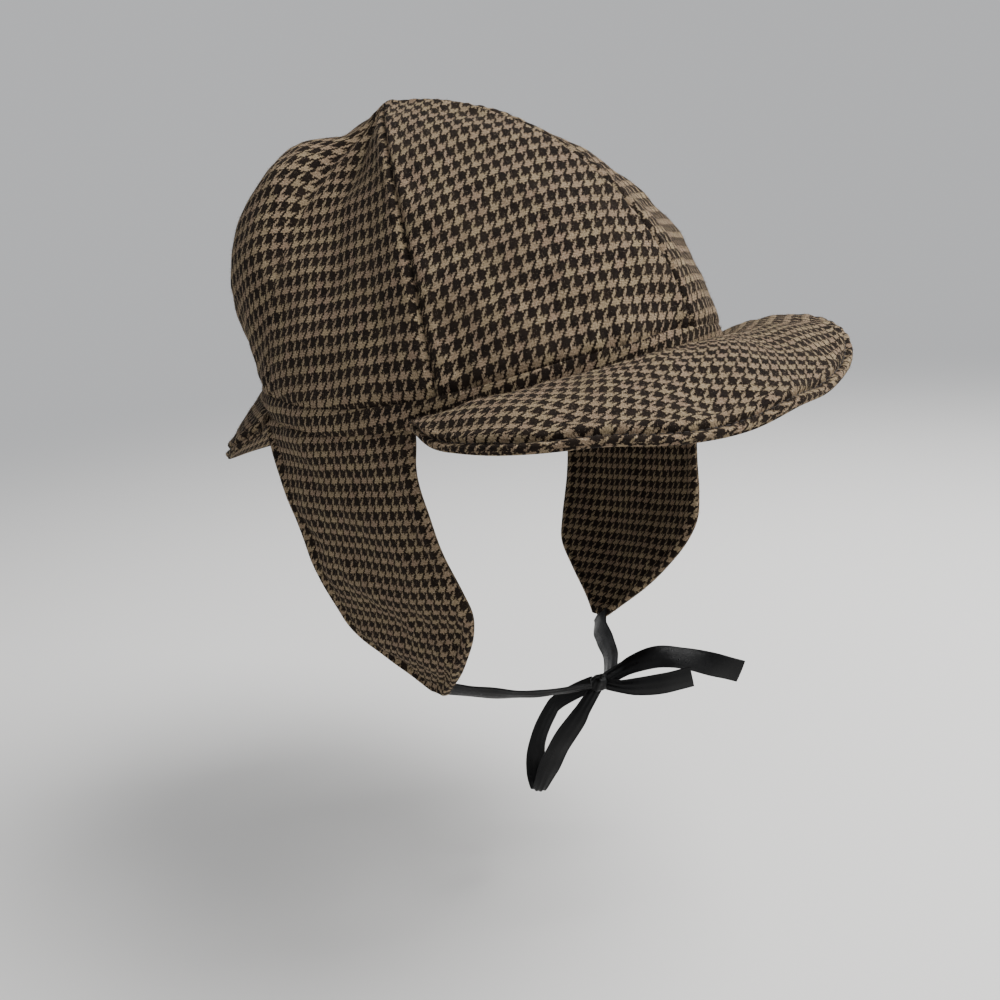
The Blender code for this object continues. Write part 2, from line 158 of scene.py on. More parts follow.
def crown_shape(bearing):
    """Fullness, overhang and sag of the meridian at a bearing."""
    turned = (np.asarray(bearing, float) + 180) % 360 - 180
    columns = ("fullness", "overhang", "sag")
    return [between(CROWN, "bearing", column, turned) for column in columns]


def crown_point(bearing, climb):
    """A point on the outside of the crown, with its folds."""
    fullness, overhang, sag = crown_shape(bearing)
    angle = np.clip(climb, 0, 1) * np.pi / 2
    run = np.cos(angle) ** (2 / fullness)
    rise = np.sin(angle) ** (2 / fullness)
    run = run + overhang * np.sin(np.pi * rise ** 0.9)
    foot = band_point(bearing, BAND_HEIGHT + SEAM_GAP)
    x = foot[..., 0] * run
    y = APEX_BACK + (foot[..., 1] - APEX_BACK) * run
    z = foot[..., 2] + (CROWN_HEIGHT - foot[..., 2]) * rise
    y = y + SEAM_BOW * np.sin(np.pi * np.clip(run, 0, 1)) * np.sin(np.radians(bearing)) ** 2
    away = np.hypot(x, y - APEX_BACK)
    dip = np.exp(-(((away - SAG_CENTRE) / SAG_REACH) ** 2)) * away / (away + SAG_START)
    z = z - sag * CROWN_HEIGHT * dip
    for fold in CROWN_FOLDS:
        x, y, z = folded(x, y, z, bearing, climb, fold)
    return np.stack([x, y, z], -1)


def folded(x, y, z, bearing, climb, fold):
    """Press one fold into points of the crown, square to the slope from apex to band."""
    along = (climb - fold.low_climb) / (fold.high_climb - fold.low_climb)
    centre = fold.low_bearing + (fold.high_bearing - fold.low_bearing) * np.clip(along, 0, 1)
    turned = (bearing - centre + 180) % 360 - 180
    away = np.hypot(x, y - APEX_BACK)
    across = np.radians(turned) * away * -np.sign(fold.low_bearing)
    inside = (along > 0) & (along < 1)
    strength = np.where(inside, np.sin(np.pi * np.clip(along, 0, 1)) ** 0.8, 0.0)
    width = np.where(across > 0, fold.front, fold.back) * CROWN_HEIGHT
    press = fold.depth * CROWN_HEIGHT * strength * np.exp(-((across / width) ** 2))
    out_x, out_y = x, y - APEX_BACK
    spread = np.hypot(out_x, out_y) + FOLD_LOW * CROWN_HEIGHT
    upward = FOLD_LOW + (1 - FOLD_LOW) * np.clip(z / CROWN_HEIGHT, 0, 1) ** 2
    x = x - press * out_x / spread
    y = y - press * out_y / spread
    return x, y, z - press * upward


def last_climb(bearing):
    """The climb at which a meridian reaches the pinhole at the apex."""
    fullness = crown_shape(bearing)[0]
    return np.arccos(PINHOLE ** (fullness / 2)) / (np.pi / 2)


RIPPLE_WAVES = 7
RIPPLE_SUM = 2.6
WHOLE_TURN = 6.28


def ripple(places, size, height, seed):
    """A gentle unevenness of cloth at flat places: waves about one size, in all directions."""
    chance = np.random.default_rng(seed)
    total = np.zeros(places.shape[:-1])
    for turn in chance.uniform(0, np.pi, RIPPLE_WAVES):
        length = size * chance.uniform(0.7, 1.5)
        along = places[..., 0] * np.cos(turn) + places[..., 1] * np.sin(turn)
        total += np.sin(2 * np.pi * along / length + chance.uniform(0, WHOLE_TURN))
    return total * height / RIPPLE_SUM


def puckers(along, shortest, longest, chance):
    """The sum of four small waves along a line, of lengths between two sizes."""
    total = 0
    for _ in range(4):
        length = chance.uniform(shortest, longest)
        total = total + np.sin(2 * np.pi * along / length + chance.uniform(0, WHOLE_TURN))
    return total


def hill(distance, place, width):
    """A soft hill of height one across a distance."""
    return np.exp(-(((distance - place) / width) ** 2))


def lengths_along(points, axis):
    """How far each point of a grid lies along one of its axes, over the surface."""
    steps = np.linalg.norm(np.diff(points, axis=axis), axis=-1)
    start = np.zeros_like(points[:1, :, 0] if axis == 0 else points[:, :1, 0])
    return np.concatenate([start, np.cumsum(steps, axis)], axis)


def grid_normals(points):
    """The outward directions over a grid that runs to the right and then up."""
    right = np.gradient(points, axis=0)
    upward = np.gradient(points, axis=1)
    return unit(np.cross(right, upward) + 1e-12)


FLATTEN_ROUNDS = 500
FLATTEN_PULL = 1.6
FLATTEN_EVERY = 4


def flattened(points):
    """The flat cut of a curved panel, in which neighbours keep their distances as they can."""
    count = points.shape[0] // 2
    across = lengths_along(points, 0)
    across = across - across[count]
    climb = np.linalg.norm(np.diff(points[count], axis=0), axis=-1)
    climb = np.concatenate([[0.0], np.cumsum(climb)])
    flat = np.stack([across, np.broadcast_to(climb, across.shape)], -1)
    links = []
    for i, j in ((1, 0), (0, 1), (1, 1), (1, -1), (2, 0), (0, 2)):
        a = (slice(0, -i or None), slice(0, -j or None) if j >= 0 else slice(-j, None))
        b = (slice(i, None), slice(j, None) if j >= 0 else slice(0, j))
        links.append((a, b, np.linalg.norm(points[b] - points[a], axis=-1)))
    for _ in range(FLATTEN_ROUNDS):
        move = np.zeros_like(flat)
        joined = np.zeros(flat.shape[:2] + (1,))
        for a, b, length in links:
            gap = flat[b] - flat[a]
            now = np.linalg.norm(gap, axis=-1) + 1e-9
            pull = gap * ((now - length) / now / 2)[..., None]
            move[a] += pull
            move[b] -= pull
            joined[a] += 1
            joined[b] += 1
        flat = flat + FLATTEN_PULL * move / joined
    return flat


def finer(grid, rows, columns):
    """A coarse grid of flat places brought to a finer count."""
    old = np.linspace(0, 1, grid.shape[0])
    new = np.linspace(0, 1, rows)
    grid = np.stack([
        np.stack([np.interp(new, old, grid[:, j, k]) for j in range(grid.shape[1])], 1)
        for k in range(2)
    ], -1)
    old = np.linspace(0, 1, grid.shape[1])
    new = np.linspace(0, 1, columns)
    return np.stack([
        np.stack([np.interp(new, old, grid[i, :, k]) for i in range(rows)], 0)
        for k in range(2)
    ], -1)


def cut_to_grain(points, place, angle, shift=(0.0, 0.0), lean=0.0):
    """Flat places over a grid, turned so that the weave's rows rise by an angle at one place.

    Lean is how far the cloth is pulled out of square there, in degrees.
    """
    coarse = points[::FLATTEN_EVERY, ::FLATTEN_EVERY]
    flat = finer(flattened(coarse), points.shape[0], points.shape[1])
    i = int(place[0] * (points.shape[0] - 2))
    j = int(place[1] * (points.shape[1] - 2))
    level = flat[i + 1, j] - flat[i, j]
    turn = -np.radians(angle) - np.arctan2(level[1], level[0])
    c, s = np.cos(turn), np.sin(turn)
    flat = flat @ np.array([[c, s], [-s, c]])
    flat[..., 0] -= np.tan(np.radians(lean)) * flat[..., 1]
    return flat + np.array(shift)


def sewn_shell(name, outer, inner, flat, outside, inside, flat_inside=None):
    """A closed piece from an outer and an inner grid, with its flat places as its UV map."""
    rows, columns = outer.shape[:2]
    total = rows * columns
    at = np.arange(total).reshape(rows, columns)
    a, b, c, d = at[:-1, :-1], at[1:, :-1], at[1:, 1:], at[:-1, 1:]
    front = np.stack([a, b, c, d], -1).reshape(-1, 4)
    back = front[:, ::-1] + total
    around = np.concatenate([at[:, 0], at[-1, 1:], at[-2::-1, -1], at[0, -2:0:-1]])
    following = np.roll(around, -1)
    rim = np.stack([around, around + total, following + total, following], -1)
    faces = np.concatenate([front, back, rim])
    data = bpy.data.meshes.new(name)
    corners = np.concatenate([outer.reshape(-1, 3), inner.reshape(-1, 3)])
    data.from_pydata(corners.tolist(), [], faces.tolist())
    places = data.uv_layers.new(name="cut")
    other = flat if flat_inside is None else flat_inside
    where = np.concatenate([flat.reshape(-1, 2), other.reshape(-1, 2)])[faces.reshape(-1)]
    places.data.foreach_set("uv", where.reshape(-1))
    data.materials.append(outside)
    data.materials.append(inside)
    second = np.zeros(len(faces), int)
    second[len(front):len(front) + len(back)] = 1
    data.polygons.foreach_set("material_index", second)
    return sewn_piece(name, data)


SHARP_ANGLE = 70.0


def sewn_piece(name, data):
    """Make the object of a mesh, with its faces outward and shaded smooth."""
    mesh = bmesh.new()
    mesh.from_mesh(data)
    if mesh.calc_volume(signed=True) < 0:
        bmesh.ops.reverse_faces(mesh, faces=mesh.faces)
    mesh.to_mesh(data)
    mesh.free()
    data.shade_smooth()
    data.set_sharp_from_angle(angle=np.radians(SHARP_ANGLE))
    thing = bpy.data.objects.new(name, data)
    bpy.context.scene.collection.objects.link(thing)
    return thing


def values_group(name, inputs, outputs):
    """An empty shader node group with its sockets, and its input and output nodes."""
    group = bpy.data.node_groups.new(name, "ShaderNodeTree")
    for label, kind, start in inputs:
        socket = group.interface.new_socket(name=label, in_out="INPUT", socket_type=kind)
        if start is not None:
            socket.default_value = start
    for label, kind in outputs:
        group.interface.new_socket(name=label, in_out="OUTPUT", socket_type=kind)
    return group, group.nodes.new("NodeGroupInput"), group.nodes.new("NodeGroupOutput")


def feed(tree, socket, value):
    """Join a socket to another socket, or set it to a number."""
    if isinstance(value, bpy.types.NodeSocket):
        tree.links.new(value, socket)
    else:
        socket.default_value = value


def reckon(tree, operation, first, second=0.0, third=0.0):
    """One Math node's result."""
    node = tree.nodes.new("ShaderNodeMath")
    node.operation = operation
    for socket, value in zip(node.inputs, (first, second, third)):
        feed(tree, socket, value)
    return node.outputs[0]


def cloud(tree, places, scale, detail=2.0, roughness=0.5, wanted="Fac"):
    """One Noise Texture's result at the given places."""
    node = tree.nodes.new("ShaderNodeTexNoise")
    feed(tree, node.inputs["Vector"], places)
    node.inputs["Scale"].default_value = scale
    node.inputs["Detail"].default_value = detail
    node.inputs["Roughness"].default_value = roughness
    return node.outputs[wanted]


def blend(tree, share, first, second):
    """One colour Mix node's result."""
    node = tree.nodes.new("ShaderNodeMix")
    node.data_type = "RGBA"
    sockets = (node.inputs[0], node.inputs[6], node.inputs[7])
    for socket, value in zip(sockets, (share, first, second)):
        feed(tree, socket, value)
    return node.outputs[2]


def ramp(tree, value, low, high, to_low=0.0, to_high=1.0):
    """A value brought from one range to another, with soft ends."""
    node = tree.nodes.new("ShaderNodeMapRange")
    node.interpolation_type = "SMOOTHSTEP"
    for label, number in zip(("Value", "From Min", "From Max", "To Min", "To Max"),
                             (value, low, high, to_low, to_high)):
        feed(tree, node.inputs[label], number)
    return node.outputs[0]


def parts_of(tree, vector, kind="ShaderNodeSeparateXYZ"):
    """The parts of a place or a colour."""
    split = tree.nodes.new(kind)
    feed(tree, split.inputs[0], vector)
    return split.outputs


def wave(tree, value, length):
    """A sine of the given wave length."""
    return reckon(tree, "SINE", reckon(tree, "MULTIPLY", value, 2 * np.pi / length))


def start_material(name):
    """A new node material, its tree and its shader."""
    made = bpy.data.materials.new(name)
    made.use_nodes = True
    return made, made.node_tree, made.node_tree.nodes["Principled BSDF"]


def cut_places(tree):
    """The places on a panel's flat cut, which its UV map holds."""
    where = tree.nodes.new("ShaderNodeUVMap")
    where.uv_map = "cut"
    return where.outputs[0]


def finish_material(tree, shader, colour, rough, height, strength, depth):
    """Give a shader its colour, its roughness and its fine relief."""
    bump = tree.nodes.new("ShaderNodeBump")
    bump.inputs["Strength"].default_value = strength
    bump.inputs["Distance"].default_value = depth
    feed(tree, bump.inputs["Height"], height)
    for label, value in (("Base Color", colour), ("Roughness", rough), ("Normal", bump.outputs[0])):
        feed(tree, shader.inputs[label], value)


# Threads in one repeat, how many of them are light, how far the threads wander slowly, and the
# sizes of the fine cloud that frays them and of the one for their drift
REPEAT_THREADS = 8.0
LIGHT_THREADS = 3.3
THREAD_DRIFT = 0.0012
FRAY_SCALE = 2600.0
DRIFT_SCALE = 90.0


def make_houndstooth():
    """Four dark and four light threads each way in a two and two twill, as the cloth is woven."""
    tree, given, result = values_group(
        "houndstooth",
        [("Places", "NodeSocketVector", None), ("Across", "NodeSocketFloat", 0.0045),
         ("Along", "NodeSocketFloat", 0.0062), ("Fuzz", "NodeSocketFloat", 0.00022)],
        [("Light", "NodeSocketFloat"), ("Relief", "NodeSocketFloat"), ("Thread", "NodeSocketFloat"),
         ("Tint", "NodeSocketFloat"), ("Fibre", "NodeSocketFloat")],
    )
    places = given.outputs["Places"]
    fuzz = given.outputs["Fuzz"]
    separate = "ShaderNodeSeparateColor"
    stray = parts_of(tree, cloud(tree, places, FRAY_SCALE, 3.0, 0.7, "Color"), separate)
    drift = parts_of(tree, cloud(tree, places, DRIFT_SCALE, 1.0, 0.5, "Color"), separate)
    split = parts_of(tree, places)
    threads = []
    for k, repeat in ((0, "Across"), (1, "Along")):
        wander = reckon(tree, "MULTIPLY", reckon(tree, "SUBTRACT", stray[k], 0.5), fuzz)
        wander = reckon(tree, "MULTIPLY", wander, 4.0)
        slow = reckon(tree, "MULTIPLY", reckon(tree, "SUBTRACT", drift[k], 0.5), THREAD_DRIFT)
        moved = reckon(tree, "ADD", reckon(tree, "ADD", split[k], wander), slow)
        thread = reckon(tree, "DIVIDE", moved, given.outputs[repeat])
        threads.append(reckon(tree, "MULTIPLY", thread, REPEAT_THREADS))
    i = reckon(tree, "FLOOR", threads[0])
    j = reckon(tree, "FLOOR", threads[1])
    warp_light, weft_light = (
        reckon(tree, "LESS_THAN", reckon(tree, "FLOORED_MODULO", t, REPEAT_THREADS), LIGHT_THREADS)
        for t in threads
    )
    twill = reckon(tree, "FLOORED_MODULO", reckon(tree, "SUBTRACT", i, j), 4.0)
    warp_up = reckon(tree, "LESS_THAN", twill, 1.5)
    weft_up = reckon(tree, "SUBTRACT", 1.0, warp_up)
    light = reckon(tree, "ADD", reckon(tree, "MULTIPLY", warp_up, warp_light),
                   reckon(tree, "MULTIPLY", weft_up, weft_light))
    feed(tree, result.inputs["Light"], light)
    round_warp, round_weft = (
        reckon(tree, "SINE", reckon(tree, "MULTIPLY", reckon(tree, "FRACT", t), np.pi))
        for t in threads
    )
    relief = reckon(tree, "ADD", reckon(tree, "MULTIPLY", warp_up, round_warp),
                    reckon(tree, "MULTIPLY", weft_up, round_weft))
    hairs = cloud(tree, places, FRAY_SCALE, 3.0, 0.7)
    # The rounded thread profile, put out as the mask for the shade painted into the gaps between
    # the threads
    feed(tree, result.inputs["Thread"], relief)
    relief = reckon(tree, "MULTIPLY_ADD", hairs, 1.2, relief)
    feed(tree, result.inputs["Relief"], relief)
    cell = tree.nodes.new("ShaderNodeCombineXYZ")
    for socket, t in zip(cell.inputs, threads):
        repeats = reckon(tree, "MULTIPLY", t, 1 / REPEAT_THREADS)
        feed(tree, socket, reckon(tree, "FLOOR", reckon(tree, "ADD", repeats, 0.25)))
    tint = tree.nodes.new("ShaderNodeTexWhiteNoise")
    tint.noise_dimensions = "2D"
    feed(tree, tint.inputs["Vector"], cell.outputs[0])
    feed(tree, result.inputs["Tint"], tint.outputs["Value"])
    feed(tree, result.inputs["Fibre"], cloud(tree, places, 1900.0, 3.0, 0.75))
    return tree


houndstooth = make_houndstooth()


def make_tweed(name, across, along, fuzz=0.00042):
    """The tweed, with its repeat across and along in metres."""
    made, tree, shader = start_material(name)
    places = cut_places(tree)
    weave = tree.nodes.new("ShaderNodeGroup")
    weave.node_tree = houndstooth
    for label, value in (("Places", places), ("Across", across), ("Along", along), ("Fuzz", fuzz)):
        feed(tree, weave.inputs[label], value)
    tint = weave.outputs["Tint"]
    fibre = weave.outputs["Fibre"]
    camel = blend(tree, tint, (0.31, 0.212, 0.140, 1), (0.36, 0.275, 0.158, 1))
    pale = blend(tree, ramp(tree, fibre, 0.48, 0.72), camel, (0.57, 0.46, 0.33, 1))
    pale = blend(tree, ramp(tree, fibre, 0.46, 0.34, 0.0, 0.6), pale, (0.11, 0.072, 0.045, 1))
    umber = blend(tree, tint, (0.006, 0.0035, 0.003, 1), (0.013, 0.008, 0.0055, 1))
    brown = blend(tree, ramp(tree, fibre, 0.54, 0.76, 0.0, 0.32), umber, (0.09, 0.056, 0.034, 1))
    cloth = blend(tree, weave.outputs["Light"], brown, pale)
    soil = cloud(tree, places, 60.0, 3.0, 0.6)
    cloth = blend(tree, ramp(tree, soil, 0.40, 0.75, 0.0, 0.18), cloth, (0.07, 0.048, 0.034, 1))
    # Painted shade: the cloth is darkened towards near-black in the gaps between the rounded
    # threads, where shade would fall
    painted_gap_shade = ramp(tree, weave.outputs["Thread"], 0.85, 0.15, 0.0, 0.55)
    cloth = blend(tree, painted_gap_shade, cloth, (0.012, 0.008, 0.006, 1))
    rough = ramp(tree, fibre, 0.3, 0.7, 0.82, 0.97)
    finish_material(tree, shader, cloth, rough, weave.outputs["Relief"], 0.8, 0.00030)
    shader.inputs["Specular IOR Level"].default_value = 0.08
    shader.inputs["Sheen Weight"].default_value = 0.03
    shader.inputs["Sheen Roughness"].default_value = 0.55
    shader.inputs["Sheen Tint"].default_value = (0.95, 0.80, 0.62, 1)
    return made


def make_lining():
    """The plain dark lining, a close twill."""
    made, tree, shader = start_material("lining")
    places = cut_places(tree)
    split = parts_of(tree, places)
    wale = wave(tree, reckon(tree, "ADD", split[0], split[1]), 0.0007)
    uneven = cloud(tree, places, 300.0, 3.0, 0.6)
    shade = blend(tree, uneven, (0.020, 0.014, 0.011, 1), (0.048, 0.034, 0.026, 1))
    rough = ramp(tree, uneven, 0.3, 0.7, 0.42, 0.60)
    finish_material(tree, shader, shade, rough, wale, 0.5, 0.00008)
    return made


lining = make_lining()


def make_wool_fibre():
    """The loose fibres that stand off the brushed face of the tweed."""
    made, tree, shader = start_material("wool_fibre")
    places = tree.nodes.new("ShaderNodeTexCoord").outputs["Object"]
    patch = cloud(tree, places, 700.0, 1.0, 0.5)
    light = ramp(tree, patch, 0.44, 0.56)
    shade = blend(tree, light, (0.020, 0.013, 0.009, 1), (0.34, 0.25, 0.16, 1))
    rough = ramp(tree, patch, 0.3, 0.7, 0.6, 0.85)
    finish_material(tree, shader, shade, rough, patch, 0.2, 0.00002)
    return made


def shape_group(name, inputs):
    """An empty Geometry Nodes group with a shape in and out, and its inputs."""
    tree = bpy.data.node_groups.new(name, "GeometryNodeTree")
    for label, kind in (("Geometry", "NodeSocketGeometry"), *inputs):
        tree.interface.new_socket(name=label, in_out="INPUT", socket_type=kind)
    tree.interface.new_socket(name="Geometry", in_out="OUTPUT", socket_type="NodeSocketGeometry")
    return tree, tree.nodes.new("NodeGroupInput").outputs


def fed_node(tree, kind, sockets, **settings):
    """One node with its settings, its sockets joined or set."""
    node = tree.nodes.new(kind)
    for label, value in settings.items():
        setattr(node, label, value)
    for label, value in sockets.items():
        feed(tree, node.inputs[label], value)
    return node


def finish_shapes(tree, instances, material):
    """Make the instances real, give them their material and put them out."""
    real = fed_node(tree, "GeometryNodeRealizeInstances", {0: instances})
    sockets = {"Geometry": real.outputs[0], "Material": material}
    coloured = fed_node(tree, "GeometryNodeSetMaterial", sockets)
    fed_node(tree, "NodeGroupOutput", {0: coloured.outputs[0]})
    return tree


def made_along(thing, group, sizes, name):
    """What a Geometry Nodes group makes on an object, as a piece with a plain mesh of its own."""
    modifier = thing.modifiers.new(group.name, "NODES")
    modifier.node_group = group
    for socket in group.interface.items_tree:
        if socket.in_out == "INPUT" and socket.name in sizes:
            modifier[socket.identifier] = sizes[socket.name]
    shape = thing.evaluated_get(bpy.context.evaluated_depsgraph_get())
    data = bpy.data.meshes.new_from_object(shape)
    thing.modifiers.remove(modifier)
    data.name = name
    piece = bpy.data.objects.new(name, data)
    bpy.context.scene.collection.objects.link(piece)
    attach(piece, "root")
    return piece


NAP_DENSITY = 420000.0
NAP_LENGTH = 0.0013
NAP_THICKNESS = 0.000040
NAP_LEAN = 1.25
NAP_SPIN = 3.1
NAP_SMALLEST = 0.4
NAP_LARGEST = 1.2


def make_nap():
    """Short fibres scattered over the outer faces of a piece, each a thin three-sided spike."""
    tree, given = shape_group("wool_nap", (
        ("Density", "NodeSocketFloat"), ("Length", "NodeSocketFloat"),
        ("Thickness", "NodeSocketFloat"), ("Seed", "NodeSocketInt"),
        ("Fibre", "NodeSocketMaterial"),
    ))
    side = tree.nodes.new("GeometryNodeInputMaterialIndex").outputs[0]
    outside = fed_node(tree, "FunctionNodeCompare", {2: side}, data_type="INT", operation="EQUAL")
    spread = fed_node(tree, "GeometryNodeDistributePointsOnFaces", {
        "Mesh": given["Geometry"], "Density": given["Density"], "Seed": given["Seed"],
        "Selection": outside.outputs[0],
    })
    spike = fed_node(tree, "GeometryNodeMeshCone", {
        "Vertices": 3, "Radius Top": 0.0, "Radius Bottom": given["Thickness"],
        "Depth": given["Length"],
    })
    lean = fed_node(tree, "FunctionNodeRandomValue", {
        "Min": (-NAP_LEAN, -NAP_LEAN, -NAP_SPIN), "Max": (NAP_LEAN, NAP_LEAN, NAP_SPIN),
        "Seed": given["Seed"],
    }, data_type="FLOAT_VECTOR")
    turned = fed_node(tree, "FunctionNodeRotateRotation", {
        "Rotation": spread.outputs["Rotation"], "Rotate By": lean.outputs[0],
    }, rotation_space="LOCAL")
    random = "FunctionNodeRandomValue"
    sizes = fed_node(tree, random, {2: NAP_SMALLEST, 3: NAP_LARGEST}, data_type="FLOAT")
    placed = fed_node(tree, "GeometryNodeInstanceOnPoints", {
        "Points": spread.outputs["Points"], "Instance": spike.outputs["Mesh"],
        "Rotation": turned.outputs[0], "Scale": sizes.outputs[1],
    })
    return finish_shapes(tree, placed.outputs[0], given["Fibre"])


wool_fibre = make_wool_fibre()
nap = make_nap()


def add_nap(piece, seed):
    """The nap of one finished piece, as one plain mesh."""
    made_along(piece, nap, {
        "Density": NAP_DENSITY, "Length": NAP_LENGTH, "Thickness": NAP_THICKNESS,
        "Seed": seed, "Fibre": wool_fibre,
    }, piece.name + "_nap")


crown_tweed = make_tweed("crown_tweed", 0.0046, 0.0068)

# Each gore's seams and sections, the place where its grain is set, how far the weave's rows rise
# and lean there in degrees, where its cut begins on the cloth, and the gore that it runs on from
Gore = namedtuple("Gore", "name start end columns place rise lean shift beside")
GORES = (
    Gore("gore_front_right", -SIDE_SEAM, FRONT_SEAM, 93,
         (0.50, 0.30), 2.0, 6.0, (0.0011, 0.0004), None),
    Gore("gore_front_left", FRONT_SEAM, SIDE_SEAM, 81,
         (0.50, 0.30), 0.0, 0.0, (0.0031, 0.0024), None),
    Gore("gore_side_right", -FOLD_SEAM, -SIDE_SEAM, 77,
         (0.90, 0.25), -20.0, -14.0, (0.0007, 0.0017), None),
    Gore("gore_side_left", SIDE_SEAM, FOLD_SEAM, 77,
         (0.10, 0.25), 20.0, 14.0, (0.0017, 0.0001), None),
    Gore("gore_back_right", -BACK_SEAM, -FOLD_SEAM, 101,
         (0.60, 0.30), 0.0, 0.0, (0, 0), "gore_side_right"),
    Gore("gore_back_left", FOLD_SEAM, BACK_SEAM, 101,
         (0.50, 0.30), 0.0, 0.0, (0, 0), "gore_side_left"),
)
GORE_ROWS = 141
ROW_SPREAD = 0.9
APEX_LEVEL = 0.12

# The roll beside a seam and the groove in it, and the share of both at the seam in the fold
SEAM_ROLL = 0.0008
SEAM_ROLL_WIDTH = 0.0030
SEAM_DIP = 0.0013
SEAM_DIP_WIDTH = 0.0011
SEAM_PUCKERS = (0.006, 0.013)
FOLD_SEAM_SHARE = 0.25

# How far the weave is drawn out along the gores, at the band and more towards the apex
CLOTH_DRAW_LOW = 0.98
CLOTH_DRAW_HIGH = 0.62
CLOTH_DRAW_POWER = 1.4

# The groove, the roll and the gathers where a gore is sewn to the band, and how far it tucks in
FOOT_DIP = 0.0006
FOOT_DIP_WIDTH = 0.0012
FOOT_ROLL = 0.0004
FOOT_ROLL_AWAY = 0.004
FOOT_ROLL_WIDTH = 0.003
FOOT_GATHERS = (0.008, 0.018)
FOOT_PUCKER = 0.0005
FOOT_PUCKER_FADE = 0.0045
FOOT_TUCK = 0.0009

# The crease in the deep fold, and the waves of the cloth as sizes and heights
CREASE = 0.0022
CREASE_WIDTH = 0.0035
GORE_WAVES = ((0.030, 0.00055), (0.013, 0.00018))
CALM_EDGE = 0.008


flat_cuts = {}


def laid_beside(flat, edge, other):
    """A flat cut moved and turned so that its own edge lies along its neighbour's."""
    own, wanted = flat[edge], other[:flat.shape[1]]
    low = slice(0, GORE_ROWS // 2)
    own_middle, wanted_middle = own[low].mean(0), wanted[low].mean(0)
    first = (own[low] - own_middle) @ np.array([1, 1j])
    second = (wanted[low] - wanted_middle) @ np.array([1, 1j])
    turn = (second * first.conj()).sum()
    places = (flat - own_middle) @ np.array([1, 1j]) * turn / abs(turn)
    return np.stack([places.real, places.imag], -1) + wanted_middle


def edge_distances(points):
    """How far each place of a grid lies from the grid's first and last column, over the cloth."""
    across = lengths_along(points, 0)
    return across, across[-1:] - across


def seam_relief(distance, along, seed, share):
    """The soft roll and groove beside a seam, with its small puckers."""
    pucker = puckers(along, *SEAM_PUCKERS, np.random.default_rng(seed)) / 3
    roll = SEAM_ROLL * share * (1 + 0.35 * pucker)
    roll = roll * hill(distance, SEAM_ROLL_WIDTH, SEAM_ROLL_WIDTH)
    return roll - SEAM_DIP * share * hill(distance, 0.0, SEAM_DIP_WIDTH)


def make_gore(number, gore):
    """One gore: its surface, its flat cut, its seams, gathers and waves, and its nap."""
    bearings = np.linspace(gore.start, gore.end, gore.columns)
    share = np.linspace(0, 1, GORE_ROWS) ** ROW_SPREAD
    points = np.stack([
        crown_point(np.full(GORE_ROWS, b), share * last_climb(b)) for b in bearings
    ])
    normals = grid_normals(points)
    from_apex = np.hypot(points[..., 0], points[..., 1] - APEX_BACK)
    level = ease(from_apex / (APEX_LEVEL * CROWN_HEIGHT))[..., None]
    normals = unit(normals * level + np.array([0.0, 0.0, 1.0]) * (1 - level))
    flat = cut_to_grain(points, gore.place, gore.rise, gore.shift, gore.lean)
    if gore.beside:
        right = gore.start < 0
        flat = laid_beside(flat, -1 if right else 0, flat_cuts[gore.beside][0 if right else -1])
    flat_cuts[gore.name] = flat
    drawn = 1 / (CLOTH_DRAW_LOW + CLOTH_DRAW_HIGH * share[None, :] ** CLOTH_DRAW_POWER)
    rows = np.diff(flat[..., 1], axis=1) * (drawn[:, 1:] + drawn[:, :-1]) / 2
    cloth = flat.copy()
    cloth[:, 1:, 1] = flat[:, :1, 1] + np.cumsum(rows, 1)
    first, last = edge_distances(points)
    climb = lengths_along(points, 1)
    raised = -FOOT_DIP * hill(climb, 0.0, FOOT_DIP_WIDTH)
    raised = raised + FOOT_ROLL * hill(climb, FOOT_ROLL_AWAY, FOOT_ROLL_WIDTH)
    for seed, bearing, beside in ((10, gore.start, first), (20, gore.end, last)):
        in_fold = abs(bearing) == FOLD_SEAM
        relief = seam_relief(beside, climb, seed + number, FOLD_SEAM_SHARE if in_fold else 1.0)
        raised = raised + relief
        if in_fold:
            deep = ease((share - 0.35) / 0.3)[None, :]
            raised = raised - CREASE * deep * hill(beside, 0.0, CREASE_WIDTH)
    gather = puckers(first, *FOOT_GATHERS, np.random.default_rng(50 + number)) / 2
    fading = climb / 0.003 * np.exp(-climb / FOOT_PUCKER_FADE)
    raised = raised + FOOT_PUCKER * gather * fading
    calm = ease(level[..., 0]) * ease(np.minimum(first, last) / CALM_EDGE)
    raised = raised * ease(level[..., 0] * 0.8 + 0.2)
    for seed, (size, height) in zip((30, 40), GORE_WAVES):
        raised = raised + calm * ripple(flat, size, height, seed + number)
    outer = points + normals * raised[..., None]
    for edge, way in ((0, -1), (-1, 1)):
        a = np.radians(bearings[edge])
        outer[edge] += way * np.array([np.cos(a), np.sin(a), 0.0]) * SEAM_GAP / 4
    outer[:, 0, 2] -= FOOT_TUCK
    inner = outer - normals * CLOTH
    piece = sewn_shell(gore.name + "_tweed", outer, inner, cloth, crown_tweed, lining)
    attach(piece, "root")
    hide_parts(gore.name)
    add_nap(piece, 100 + number)


for number, gore in enumerate(GORES):
    make_gore(number, gore)


# Headband. A narrow strip of the same tweed, folded under along its lower edge and sewn to the
# foot of the gores all round, with its own run of the pattern.
BAND_PUFF = 0.0012
BAND_PUFF_POWER = 0.6
BAND_STEPS = 480
BAND_ROWS = 15
BAND_TILT = -5.0
BAND_WAVES = (0.018, 0.0003)
BAND_CALM_END = 0.02
band_tweed = make_tweed("band_tweed", 0.0045, 0.0062)


